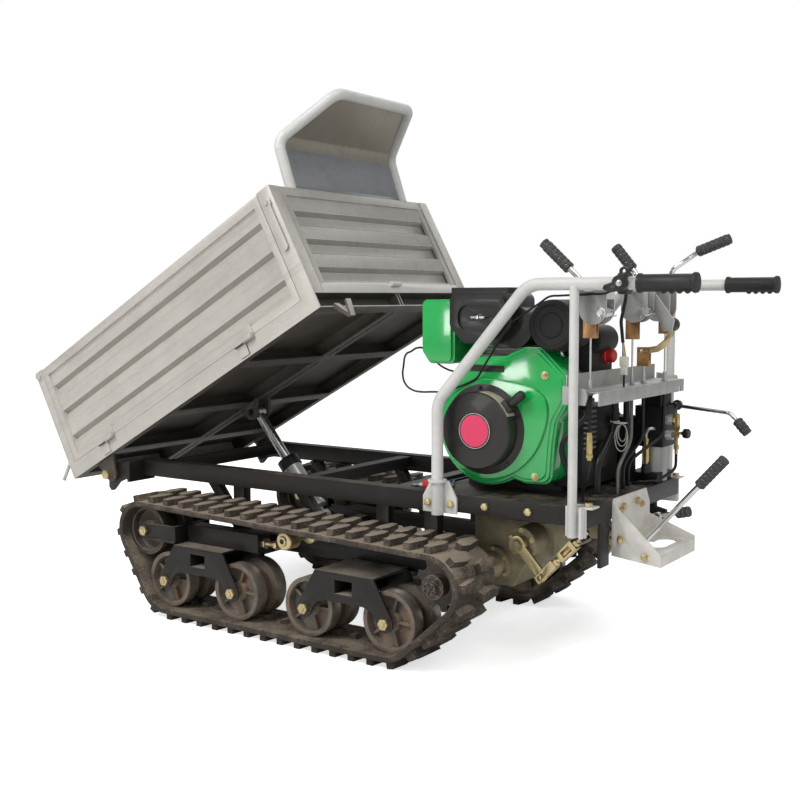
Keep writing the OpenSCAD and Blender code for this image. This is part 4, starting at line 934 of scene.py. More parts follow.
def fit(obj: bpy.types.Object, body: str, finish: Finish | None = None) -> bpy.types.Object:
    """Finish a piece, ride it on a body and report it.

    Args:
        obj: The piece.
        body: Body that carries it.
        finish: Its finish, or None to keep its materials.

    Returns:
        The piece.
    """
    if finish:
        dress(obj, finish)
    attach(obj, body)
    LOG.info("%s rides on %s", obj.name, body)
    return obj


@dataclass(frozen=True)
class Zone:
    """Faces of a skin that take another finish.

    Attributes:
        finish: The finish.
        test: True for a face, from its centre in mm and its normal.
    """

    finish: Finish
    test: Test


@dataclass(frozen=True)
class Skin:
    """A CAD node dressed as a merged copy with rolled edges.

    Attributes:
        node: The node.
        finish: Main finish.
        edge: Finish of the rolled edges, or None for the main one.
        roll: Edge radius in mm; 0 keeps the CAD edges.
        zones: Faces with other finishes.
        segments: Steps of the rolled edge.
    """

    node: str
    finish: Finish
    edge: Finish | None = None
    roll: float = 1.5
    zones: tuple[Zone, ...] = ()
    segments: int = 2

    def make(self) -> bpy.types.Object:
        """Build the skin over its node.

        Returns:
            The skin.
        """
        source = frame["nodes"][self.node]
        obj = bpy.data.objects.new(f"{self.node}_skin", source.data.copy())
        bpy.context.collection.objects.link(obj)
        obj.data.materials.clear()
        for finish in (self.finish, self.edge or self.finish, *(zone.finish for zone in self.zones)):
            obj.data.materials.append(finish.material())
        Bench.pick(obj)
        if obj.data.has_custom_normals:
            bpy.ops.mesh.customdata_custom_splitnormals_clear()
        Bench.edit(obj)
        bpy.ops.mesh.remove_doubles(threshold=CAD_WELD)
        bpy.ops.mesh.dissolve_limited(angle_limit=math.radians(FLAT))
        Bench.shut()
        for face in obj.data.polygons:
            face.material_index = self._slot(face.center / MM, face.normal)
        Bench.roll_edges(obj, self.roll, self.segments)
        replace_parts(obj, self.node)
        body = next(b for b, nodes in frame["record"]["behaviour"]["bodies"].items() if self.node in nodes)
        return fit(obj, body)

    def _slot(self, centre: Vector, normal: Vector) -> int:
        """Material slot of a face.

        Args:
            centre: Face centre in mm.
            normal: Face normal.

        Returns:
            The slot's number.
        """
        for number, zone in enumerate(self.zones):
            if zone.test(centre, normal):
                return number + 2
        return 0


@dataclass(frozen=True)
class Lamp:
    """A square soft box.

    Attributes:
        name: Lamp name.
        place: Its place in metres.
        size: Its side in metres.
        power: Its power in watts.
    """

    name: str
    place: Point
    size: float
    power: float

    def hang(self, aim: Point) -> None:
        """Hang the lamp in the scene.

        Args:
            aim: Point in metres that it looks at.
        """
        data = bpy.data.lights.new(self.name, "AREA")
        data.size = self.size
        data.energy = self.power
        lamp = bpy.data.objects.new(self.name, data)
        bpy.context.scene.collection.objects.link(lamp)
        lamp.location = self.place
        lamp.rotation_mode = "QUATERNION"
        lamp.rotation_quaternion = (Vector(aim) - Vector(self.place)).to_track_quat("-Z", "Y")


@dataclass(frozen=True)
class Studio:
    """Pale floor, soft light and the photograph's camera.

    Attributes:
        eye: Camera place in metres.
        yaw: Turn about Z in degrees.
        pitch: Tilt down in degrees.
        roll: Turn about the view in degrees.
        lens: Focal length in mm.
        sensor: Sensor width in mm.
        lamps: The soft boxes.
        aim: Point in metres that they look at.
        sky: Colour of the light from all round.
        sky_light: Its strength.
        floor_half: Half width of the floor in metres.
        floor_drop: How far the floor lies below the ground line, in metres.
        floor_white: Colour of its paint.
        floor_glow: Light added to it where the camera sees it.
    """

    eye: Point = (1.92936, -2.64475, 0.91947)
    yaw: float = 34.864
    pitch: float = 5.204
    roll: float = 0.16
    lens: float = 50.615
    sensor: float = 36.0
    lamps: tuple[Lamp, ...] = (
        Lamp("key", (-1.4, -4.4, 4.9), 2.4, 225.0),
        Lamp("fill", (3.8, -1.8, 4.6), 3.0, 90.0),
        Lamp("back", (-1.0, 4.4, 4.2), 4.2, 60.0),
        Lamp("strip", (-0.78, -2.9, 0.95), 0.42, 5.0),
    )
    aim: Point = (0.0, 0.0, 0.5)
    sky: Colour = (0.97, 0.985, 1.0)
    sky_light: float = 0.44
    floor_half: float = 14.0
    floor_drop: float = 0.0005
    floor_white: Colour = (0.86, 0.86, 0.86)
    floor_glow: float = 0.66

    def build(self) -> None:
        """Set up the camera, the light and the floor."""
        scene = bpy.context.scene
        scene.view_settings.view_transform = "Standard"
        data = bpy.data.cameras.new("photo_camera")
        data.lens = self.lens
        data.sensor_width = self.sensor
        camera = bpy.data.objects.new("photo_camera", data)
        scene.collection.objects.link(camera)
        camera.location = self.eye
        camera.rotation_mode = "XYZ"
        camera.rotation_euler = [math.radians(turn) for turn in (90.0 - self.pitch, self.roll, self.yaw)]
        scene.camera = camera
        self._world(scene)
        for lamp in self.lamps:
            lamp.hang(self.aim)
        self._floor()

    def _world(self, scene: bpy.types.Scene) -> None:
        """White to the eye, even and dimmer as light.

        Args:
            scene: The scene.
        """
        world = bpy.data.worlds.new("studio")
        world.use_nodes = True
        scene.world = world
        tree = world.node_tree
        tree.nodes.clear()
        path = tree.nodes.new("ShaderNodeLightPath")
        seen = tree.nodes.new("ShaderNodeMath")
        seen.operation = "MAXIMUM"
        light = tree.nodes.new("ShaderNodeBackground")
        light.inputs["Color"].default_value = (*self.sky, 1.0)
        light.inputs["Strength"].default_value = self.sky_light
        white = tree.nodes.new("ShaderNodeBackground")
        white.inputs["Color"].default_value = (1.0, 1.0, 1.0, 1.0)
        both = tree.nodes.new("ShaderNodeMixShader")
        out = tree.nodes.new("ShaderNodeOutputWorld")
        for source, target in (
            (path.outputs["Is Camera Ray"], seen.inputs[0]),
            (path.outputs["Is Transmission Ray"], seen.inputs[1]),
            (seen.outputs[0], both.inputs[0]),
            (light.outputs[0], both.inputs[1]),
            (white.outputs[0], both.inputs[2]),
            (both.outputs[0], out.inputs["Surface"]),
        ):
            tree.links.new(source, target)

    def _floor(self) -> None:
        """A white floor that keeps the shadow."""
        Bench.clear()
        bpy.ops.mesh.primitive_plane_add(size=2 * self.floor_half, location=(0, 0, -self.floor_drop))
        floor = Bench.keep("studio_floor")
        g = Graph("studio_white")
        lit = g.node("ShaderNodeBsdfDiffuse", {}, {"Color": (*self.floor_white, 1.0)})
        glow = g.node("ShaderNodeEmission", {}, {"Color": (1.0, 1.0, 1.0, 1.0), "Strength": self.floor_glow})
        sees = g.node("ShaderNodeLightPath", output="Is Camera Ray")
        plain = g.node("ShaderNodeAddShader", {}, {0: lit, 1: glow})
        both = g.node("ShaderNodeMixShader", {}, {0: sees, 1: lit, 2: plain})
        g.node_output(both)
        floor.data.materials.append(g.material)


def near(a: Vector, b: Point, reach: float) -> bool:
    """True if a point in mm lies within reach of another."""
    return (a - Vector(b)).length < reach


def beyond(start: Point, end: Point) -> Test:
    """A test for faces past a point on a line.

    Args:
        start: Point in mm where the zone starts.
        end: Point in mm further on.

    Returns:
        The test.
    """
    origin = Vector(start)
    way = (Vector(end) - origin).normalized()
    return lambda centre, normal: (centre - origin).dot(way) > 0.0


def inside(*rooms: Room) -> Test:
    """A test for faces whose centre lies in any of several rooms.

    Args:
        rooms: Low and high limits along the three axes, in mm.

    Returns:
        The test.
    """
    return lambda centre, normal: any(
        all(low < place < high for place, (low, high) in zip(centre, room)) for room in rooms
    )


def bent(points: Sequence[Point], radius: float) -> list[Vector]:
    """A line with round bends at its corners.

    Args:
        points: Corners in mm.
        radius: Bend radius in mm.

    Returns:
        Points in metres.
    """
    straight, step = 0.01, 9.0
    knots = [Vector(p) * MM for p in points]
    line = [knots[0]]
    for a, b, c in zip(knots, knots[1:], knots[2:]):
        come, go = (b - a).normalized(), (c - b).normalized()
        turn = come.angle(go)
        if turn < straight:
            continue
        cut = radius * MM * math.tan(turn / 2)
        first = b - come * cut
        axis = come.cross(go).normalized()
        centre = first + axis.cross(come) * radius * MM
        steps = max(3, round(math.degrees(turn) / step))
        line += [centre + Quaternion(axis, turn * k / steps) @ (first - centre) for k in range(steps + 1)]
    return [*line, knots[-1]]


def evenly(line: Sequence[Vector], count: int) -> list[Vector]:
    """Points spread evenly along a line.

    Args:
        line: The line's points.
        count: How many points to return.

    Returns:
        The spread points, with both ends.
    """
    spans = [(b - a).length for a, b in zip(line, line[1:])]
    step = sum(spans) / (count - 1)
    spread, walked, span = [line[0]], 0.0, 0
    for number in range(1, count - 1):
        while walked + spans[span] < number * step:
            walked += spans[span]
            span += 1
        spread.append(line[span].lerp(line[span + 1], (number * step - walked) / spans[span]))
    return [*spread, line[-1]]


@dataclass(frozen=True)
class Route:
    """A cord and the way it takes, in mm.

    Attributes:
        name: Piece name.
        corners: Corners from its exit to its far end.
        radius: Radius of the cord.
        bend: Bend radius at the corners.
        finish: Its finish.
        count: Points along it.
        tip: What is on its far end.
        lie: How it lies.
    """

    name: str
    corners: tuple[Point, ...]
    radius: float
    bend: float
    finish: Finish = CABLE
    count: int = 22
    tip: Tip = Tip.OBJECT
    lie: Lie = Lie.HANGING

    def lay(self, pieces: Sequence[bpy.types.Object] = ()) -> bpy.types.Object:
        """Lay the cord.

        Args:
            pieces: Pieces that it would carry; not used.

        Returns:
            The cord.
        """
        line = evenly(bent(self.corners, self.bend), self.count)
        obj = tube(self.name, line, self.radius, self.finish)
        fit(obj, "chassis")
        sum((b - a).length for a, b in zip(line, line[1:]))
        2 * self.radius * MM
        return obj


@dataclass
class Cords:
    """Control cables, hoses and the spare wire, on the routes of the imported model, in mm.

    Attributes:
        tops: Where each control cable leaves the shelf, X and Y.
        ends: Where it comes down on the deck, X and Y, and the height of its upper bend.
        drop: Height that it takes to cross over.
        shelf_under: Underside of the cable shelf.
        deck_top: Top of the engine deck.
        cable_r: Radius of a control cable.
        cable_bend: Its bend radius.
        grey_cable: Number of the one in a grey jacket.
        hoses: Hoses and throttle cable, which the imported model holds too.
        drain: Drain hose of the valve.
        coil: Top of the spare wire's coil.
        coil_turns: Its turns.
        coil_points: Points in a turn.
        coil_wide: Its half width, and what each turn adds.
        coil_deep: Its half depth, and what each turn adds.
        coil_pitch: Distance from turn to turn.
        coil_r: Radius of the wire.
        coil_bend: Its bend radius.
    """

    tops: tuple[Spot, ...] = ((793, -236), (796, 0), (822, 150), (802, 60))
    ends: tuple[Point, ...] = ((762, -205, 520), (786, -56, 560), (760, 70, 560), (768, 20, 560))
    drop: float = 66.0
    shelf_under: float = 696.0
    deck_top: float = 429.2
    cable_r: float = 4.5
    cable_bend: float = 46.0
    grey_cable: int = 2
    hoses: tuple[Route, ...] = (
        Route(
            "pressure_hose",
            ((770, -40, 696.8), (770, -40, 600), (758, -116, 510), (758, -116, 429.2)),
            9.0, 70.0
        ),
        Route("return_hose", ((772, 24, 696.8), (772, 24, 560), (744, 50, 490), (744, 50, 429.2)), 8.0, 64.0),
        Route(
            "fuel_hose",
            ((752, -150, 696.8), (752, -150, 640), (690, -192, 560), (716, -176, 478), (716, -176, 429.2)),
            7.0, 56.0
        ),
        Route(
            "throttle_cable",
            (
                (889.6, -274, 935), (868, -274, 935), (840, -262.8, 927), (700, -262.8, 922),
                (590, -260, 856), (475, -224, 714), (392, -230, 680), (302, -240, 676),
                (258, -236, 700), (258, -226, 770), (262, -150, 792), (300, -110, 732),
                (420.8, -90, 701)
            ),
            2.6, 20.0, count=40
        ),
    )
    drain: Route = Route(
        "drain_hose", ((843, 188, 520), (843, 188, 466), (816, 132, 440), (772, 104, 436), (748, 98, 429.2)),
        4.0, 24.0
    )
    coil: Point = (797, -52, 605.5)
    coil_turns: int = 3
    coil_points: int = 12
    coil_wide: Spot = (9.0, 3.2)
    coil_deep: Spot = (19.0, 6.0)
    coil_pitch: float = 3.6
    coil_r: float = 1.4
    coil_bend: float = 5.0

    def build(self) -> None:
        """Lay every cable and hose, and the spare wire."""
        for number, ((tx, ty), (fx, fy, height)) in enumerate(zip(self.tops, self.ends), 1):
            low = height - self.drop
            corners = ((tx, ty, self.shelf_under), (tx, ty, height), (fx, fy, low), (fx, fy, self.deck_top))
            finish = GREY_CABLE if number == self.grey_cable else CABLE
            cable = Route(f"control_cable_{number}", corners, self.cable_r, self.cable_bend, finish)
            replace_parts(cable.lay(), "cable_sheaths")
        for hose in self.hoses:
            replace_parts(hose.lay(), "cable_sheaths")
        self.drain.lay()
        self._coil()

    def _coil(self) -> None:
        """Spare wire that hangs from the tie in widening turns."""
        x, y, z = self.coil
        loops = []
        for point in range(self.coil_turns * self.coil_points + 1):
            turn = point / self.coil_points
            wide, deep = (first + more * turn for first, more in (self.coil_wide, self.coil_deep))
            angle = math.tau * turn
            loops.append(
                (x + wide * math.sin(angle), y - self.coil_pitch * turn, z - deep * (1 - math.cos(angle)))
            )
        wire_coil = Route("wire_coil", tuple(loops), self.coil_r, self.coil_bend, COIL_GREY, 40)
        replace(wire_coil, tip=Tip.BARE, lie=Lie.COILED).lay()


@dataclass
class Undercarriage:
    """Tracks, wheels, bogies and what adjusts them, in mm.

    Attributes:
        rollers: Rollers on each side.
        roller_x0: Axle place of the first one.
        roller_pitch: Distance from roller to roller.
        roller_z: Height of their axles.
        tread_r: Radius beyond which a roller is worn bright.
        low_run: Height of a track's lower run.
        top_run: Height above which it is the upper run.
        lug_up: How far a lug's top faces up.
        bogie_up: How far a bogie's top faces up.
        tread_out: How far a tread may face sideways.
        hub: Axis of the sprocket shaft, X and Z.
        hub_end: Distance of the shaft's end from the middle of the machine.
        hub_disc: Disc behind the nut: radius, and start and end from the shaft's end.
        hub_nut: The nut, given in the same way.
        hub_stud: One stud, given in the same way.
        studs: Number of studs.
        stud_ring: Radius of their circle.
    """

    rollers: int = 4
    roller_x0: float = -439.0
    roller_pitch: float = 258.0
    roller_z: float = 112.0
    tread_r: float = 76.0
    low_run: float = 60.0
    top_run: float = 240.0
    lug_up: float = 0.6
    bogie_up: float = 0.8
    tread_out: float = 0.5
    hub: Spot = (470.0, 222.0)
    hub_end: float = 434.0
    hub_disc: Point = (20.0, -4.0, -1.0)
    hub_nut: Point = (8.0, -2.0, 3.0)
    hub_stud: Point = (2.8, 0.0, 6.0)
    studs: int = 6
    stud_ring: float = 13.0

    def build(self) -> None:
        """Dress the running gear."""
        # Lug tops take dust and painted light; the lower run takes painted shade.
        tops = Zone(LUG_TOP_DUST_AND_LIGHT, lambda c, n: c.z > self.top_run and n.z > self.lug_up)
        low_run = Zone(TRACK_LOW_SHADE, inside((ANY, ANY, (-INF, self.low_run))))
        bogie_tops = Zone(BOGIE_TOP, lambda c, n: n.z > self.bogie_up and c.z < self.top_run)
        for side in Side:
            Skin(f"track_{side.word}", TRACK_RUBBER, LUG_EDGE, 2.6, (tops, low_run)).make()
            for k in range(self.rollers):
                tread = self._tread(self.roller_x0 + k * self.roller_pitch)
                Skin(f"roller_{side.word}_{k + 1}", WHEEL_IRON, WHEEL_TREAD, 1.4, (tread,)).make()
            Skin(f"idler_{side.word}", IDLER_IRON, WHEEL_IRON, 1.4).make()
            Skin(f"sprocket_{side.word}", IDLER_IRON, WHEEL_TREAD, 1.2).make()
            Skin(f"carrier_roller_{side.word}", ZINC_YELLOW, None, 1.0).make()
            self._hub_nut(side)
        Skin("track_frame", BLACK_PAINT, BLACK_EDGE, 1.6, (bogie_tops,)).make()
        Skin("idler_yokes", BLACK_PAINT, BLACK_EDGE, 1.6).make()
        Skin("fasteners", ZINC_YELLOW, None, 0.8).make()

    def _tread(self, x: float) -> Zone:
        """Worn tread faces of the roller at x.

        Args:
            x: Axle place in mm.

        Returns:
            The zone.
        """

        def worn(centre: Vector, normal: Vector) -> bool:
            """True on the tread."""
            reach = math.hypot(centre.x - x, centre.z - self.roller_z)
            return reach > self.tread_r and abs(normal.y) < self.tread_out

        return Zone(WHEEL_TREAD, worn)

    def _hub_nut(self, side: Side) -> None:
        """Disc, nut and ring of studs on the end of the sprocket shaft.

        Args:
            side: Which side.
        """
        name = f"hub_nut_{side.word}"
        x, z = self.hub
        y = side.value * self.hub_end

        def bar(at: Point, size: Point, sides: int, roll: float) -> bpy.types.Object:
            """A bar along the shaft.

            Args:
                at: Point in mm on the plane of the shaft's end.
                size: Radius, start and end in mm.
                sides: Number of flats.
                roll: Edge radius in mm.

            Returns:
                The bar.
            """
            radius, start, end = size
            ends = [(at[0], at[1] + side.value * along, at[2]) for along in (start, end)]
            return Bench.rod(name, *ends, radius, sides, roll)

        places = ring((x, z), y, self.stud_ring, self.studs, 30.0)
        pieces = [bar((x, y, z), self.hub_disc, 32, 0.6), bar((x, y, z), self.hub_nut, 6, 1.0)]
        pieces += Bench.spread(bar(places[0], self.hub_stud, 6, 0.6), places)
        fit(Bench.join(name, pieces), f"sprocket_{side.word}", IDLER_IRON)


@dataclass
class Chassis:
    """Frame, gearbox, brake gear, oil tank and leads, in mm.

    Attributes:
        deck_top: Top of the engine deck.
        hose_feet: Where each hose meets the deck, X and Y, and its radius.
        grommet: Section of a grommet from the hose's skin.
        covers: Gearbox covers: axis X and Z, face from the middle, bolt circle, bolts, first angle.
        tank: Oil tank's corners on the deck.
        tank_top: Its top.
        tank_foot: How far its foot stands out at the front and elsewhere, and how thick it is.
        tank_seam: How far its seam stands out, and where it ends and starts below the top.
        tank_cap: Profile of its filler cap.
        lead_exit: Where the leads leave the engine.
        lead_turns: Bend radius of the leads.
        lead_y: Line of the starter lead's sleeve and terminal.
        cover: Corners of its red cover on the deck, and the cover's height.
        terminal_x: Place of the terminal's eye.
        terminal: Profile of the eye.
    """

    deck_top: float = 429.0
    hose_feet: tuple[Point, ...] = ((758, -116, 9.0), (744, 50, 8.0), (716, -176, 7.0), (748, 98, 4.0))
    grommet: tuple[Spot, ...] = ((0.4, 0), (8, 0), (8, 3), (5, 6), (0.4, 6), (0.4, 0))
    covers: tuple[tuple[Spot, float, float, int, float], ...] = (
        ((470, 222), 128, 41, 6, 30.0), ((585, 303), 184, 31, 5, 18.0)
    )
    tank: tuple[Spot, Spot] = ((622, 114), (738, 178))
    tank_top: float = 606.0
    tank_foot: Point = (7.0, 5.0, 5.0)
    tank_seam: Point = (1.5, 28.0, 34.0)
    tank_cap: tuple[Spot, ...] = ((0, 20), (13, 20), (17, 17), (18, 6), (21, 4), (21, -1), (0, -1))
    lead_exit: Point = (392, -94, 440)
    lead_turns: float = 14.0
    lead_y: float = -240.0
    cover: tuple[Spot, Spot, float] = ((330, -252), (372, -230), 19.0)
    terminal_x: float = 302.0
    terminal: tuple[Spot, ...] = ((4.2, 0), (8.5, 0), (8.5, 2), (4.2, 2), (4.2, 0))

    def build(self) -> None:
        """Dress the frame and what hangs from it."""
        Skin("main_frame", DECK_PAINT, BLACK_EDGE, 1.6).make()
        Skin("gearbox", GEAR_ALLOY, None, 3.0).make()
        Skin("belt_guard", BLACK_PAINT, BLACK_EDGE, 1.2).make()
        for side in Side:
            Skin(f"brake_arm_{side.word}", ZINC_YELLOW, None, 0.9).make()
            Skin(f"brake_rod_{side.word}", ZINC_YELLOW, None, 0.9).make()
        self._grommets()
        self._gearbox_bolts()
        self._oil_tank()
        self._leads()

    def _grommets(self) -> None:
        """Rubber rings where the hoses pass the deck."""
        rings = []
        for x, y, radius in self.hose_feet:
            profile = [(radius + out, height) for out, height in self.grommet]
            rings.append(Bench.lathe("hose_grommets", (x, y, self.deck_top), Axis.Z, profile))
        fit(Bench.join("hose_grommets", rings), "chassis", GRIP_RUBBER)

    def _gearbox_bolts(self) -> None:
        """Bolts round the gearbox covers on both sides."""
        bolts = []
        for side in Side:
            for centre, face, radius, count, start in self.covers:
                seats = ring(centre, face * side.value, radius, count, start)
                bolts += Bench.bolts("gearbox_bolts", seats, (0, side.value, 0), Head.SMALL)
        fit(Bench.join("gearbox_bolts", bolts), "chassis", ZINC_YELLOW)

    def _oil_tank(self) -> None:
        """Small oil tank of the lift beside the engine, with its foot, seam and filler cap."""
        (x0, y0), (x1, y1) = self.tank
        name, low, top = "oil_tank", self.deck_top, self.tank_top
        front, out, thick = self.tank_foot
        seam, seam_high, seam_low = self.tank_seam
        can = Bench.block(name, (x0, y0, low), (x1, y1, top), 9.0)
        foot = Bench.block(name, (x0 - front, y0 - out, low), (x1 + out, y1 + out, low + thick), 1.2)
        rim = Bench.block(
            name, (x0 - seam, y0 - seam, top - seam_low), (x1 + seam, y1 + seam, top - seam_high), 1.2
        )
        cap = Bench.lathe(name, ((x0 + x1) / 2, (y0 + y1) / 2, top), Axis.Z, self.tank_cap)
        fit(Bench.join(name, (can, foot, rim, cap)), "chassis", HOT_BLACK)

    def _leads(self) -> None:
        """Loose starter leads on the front corner of the deck, with their covered terminals."""
        x, y, z = self.lead_exit
        top, line, eye = self.deck_top, self.lead_y, self.terminal_x
        low, high, tall = self.cover
        cover = Bench.block("lead_cover_red", (*low, top), (*high, top + tall), 3.5)
        sleeve = Bench.rod("lead_sleeve", (eye + 14, line, top + 6), (eye + 38, line, top + 6), 5.0)
        loop = Bench.lathe("lead_terminal", (eye, line, top + 4), Axis.Z, self.terminal, 24)
        tongue = Bench.block(
            "lead_terminal", (eye + 7, line - 4, top + 4), (eye + 18, line + 4, top + 6), 0.4
        )
        terminal = Bench.join("lead_terminal", (loop, tongue))
        pieces = [
            fit(cover, "chassis", RED_PLASTIC),
            fit(sleeve, "chassis", WHITE_PLASTIC),
            fit(terminal, "chassis", ZINC),
        ]
        bend = self.lead_turns
        corners = ((x, y, z), (374, y, z), (352, y - 40, top + 4), (404, -222, top + 4), (371, line, top + 7))
        Route("starter_lead", corners, 3.2, bend, CABLE, 24, Tip.CONNECTOR).lay(pieces)
        corners = ((x, y + 14, z), (372, y + 14, z), (340, y - 60, top + 3.2), (350, -222, top + 3.2))
        Route("sense_lead", corners, 2.4, bend, WIRE_BLUE, 18, Tip.BARE).lay()


@dataclass
class LoadBed:
    """Tipping bed, its gates, latches, guard and lift cylinder, in mm on the bed's own axes.

    Attributes:
        hinge: Hinge line, X and Z on the machine's axes.
        hinge_place: The same line on the bed's axes.
        length: Length of the bed.
        half: Half width of the bed.
        floor: Height of the floor's underside.
        end_walls: Thickness of the bed's two ends.
        flat: How far a face looks straight out.
        slope: How far a groove's slope looks down, at the least and at the most.
        sill: Height of the lower rails' upper edge.
        rim: Height of the upper rails' lower edge.
        guard_top: Top tube of the guard.
        guard_r: Its radius.
        sheet_half: Half width of the sheet in the guard.
        fold: Height of the sheet's fold.
        strip: Middle of the strip under the sheet.
        strip_half: Its half length.
        strip_size: Its thickness and width.
        strip_lean: How far it leans from the bed's axes, in degrees.
        gland: End of the cylinder's barrel, on the machine's axes.
        rod_eye: Eye of its rod, on the machine's axes.
    """

    hinge: Spot = (-745.0, 385.0)
    hinge_place: Spot = (140.0, -46.0)
    length: float = 1126.0
    half: float = 377.0
    floor: float = 43.0
    end_walls: Spot = (5.0, 6.0)
    flat: float = 0.7
    slope: Spot = (0.2, 0.97)
    sill: float = 84.0
    rim: float = 340.0
    guard_top: Spot = (1316.0, 556.0)
    guard_r: float = 15.0
    sheet_half: float = 120.0
    fold: float = 488.0
    strip: Spot = (1112.4, 373.5)
    strip_half: float = 250.0
    strip_size: Spot = (4.4, 17.0)
    strip_lean: float = 9.8
    gland: Point = (-280.4, 0, 345.8)
    rod_eye: Point = (-415.7, 0, 508.9)

    def build(self) -> None:
        """Dress the bed and the cylinder."""
        # Groove slopes that face down take painted shade.
        groove = Zone(GROOVE_SHADE, self._groove)
        sill = Zone(GREY_EDGE, lambda c, n: self._on_bed(c)[1] < self.sill)
        # The guard's sheet takes two colours of painted reflection and shade, split at its fold.
        sheet = (Zone(SHEET_GREY_REFLECTION, self._low_sheet), Zone(SHEET_TAN_REFLECTION, self._sheet))
        gland = Zone(HOT_BLACK, beyond(self.gland, self.rod_eye))
        Skin("bed_frame", GREY_PAINT, GREY_EDGE, 1.2, (Zone(UNDER_PAINT, self._under),)).make()
        # The head panel takes a darker paint as painted shade.
        Skin("head_panel", HEAD_SHADED_PAINT, GREY_EDGE, 1.6, (sill, groove)).make()
        Skin("head_guard", BAR_PAINT, None, 0.8, sheet).make()
        for node in ("side_gate_left", "side_gate_right", "tailgate"):
            Skin(node, GREY_PAINT, GREY_EDGE, 1.6, (groove,)).make()
        for side in Side:
            Skin(f"gate_latch_{side.word}", GREY_PAINT, GREY_EDGE, 1.0).make()
        Skin("lift_cylinder", BARREL_STEEL, None, 1.2, (gland,)).make()
        Skin("lift_rod", ROD_STEEL, None, 0.8).make()
        self._guard_strip()

    @staticmethod
    def _turned(x: float, z: float, tilt: float) -> Spot:
        """A direction's length and height on axes that are tilted by some degrees."""
        cosine, sine = math.cos(math.radians(tilt)), math.sin(math.radians(tilt))
        return x * cosine + z * sine, z * cosine - x * sine

    def _on_bed(self, point: Vector) -> Spot:
        """A point's length and height on the bed's own axes."""
        along, rise = self._turned(point.x - self.hinge[0], point.z - self.hinge[1], BED_TILT)
        return along + self.hinge_place[0], rise + self.hinge_place[1]

    def _guard_strip(self) -> None:
        """A folded strip that carries the guard's sheet on the rim of the head panel."""
        along, rise = (place - hinge for place, hinge in zip(self.strip, self.hinge_place))
        x, z = (way + hinge for way, hinge in zip(self._turned(along, rise, -BED_TILT), self.hinge))
        thick, wide = (size / 2 for size in self.strip_size)
        low, high = (x - thick, -self.strip_half, z - wide), (x + thick, self.strip_half, z + wide)
        fit(Bench.block("guard_strip", low, high, 0.8, self.strip_lean - BED_TILT), "bed", SHEET_GREY_REFLECTION)

    def _groove(self, centre: Vector, normal: Vector) -> bool:
        """Slopes of the pressed grooves that face down on the bed's own axes, which take painted shade."""
        down = -self._turned(normal.x, normal.z, BED_TILT)[1]
        return self.slope[0] < down < self.slope[1] and self.sill < self._on_bed(centre)[1] < self.rim

    def _under(self, centre: Vector, normal: Vector) -> bool:
        """Faces of the bed's underside, which take a dark brown colour.

        Args:
            centre: Face centre in mm.
            normal: Face normal.

        Returns:
            True on such a face.
        """
        along, rise = self._on_bed(centre)
        facing = self._turned(normal.x, normal.z, BED_TILT)[0]
        outside = abs(normal.y) > self.flat and abs(centre.y) > self.half - 1.0
        low, high = self.end_walls[0], self.length - self.end_walls[1]
        at_end = abs(facing) > self.flat and not low < along < high
        return rise < self.floor and not outside and not at_end

    def _sheet(self, centre: Vector, normal: Vector) -> bool:
        """Faces of the folded sheet inside the guard's tube.

        Args:
            centre: Face centre in mm.
            normal: Face normal.

        Returns:
            True on such a face.
        """
        along, rise = self._on_bed(centre)
        clear = math.hypot(along - self.guard_top[0], rise - self.guard_top[1]) > self.guard_r + 1.0
        return abs(centre.y) < self.sheet_half and clear

    def _low_sheet(self, centre: Vector, normal: Vector) -> bool:
        """Faces of that sheet below its fold."""
        return self._sheet(centre, normal) and self._on_bed(centre)[1] < self.fold


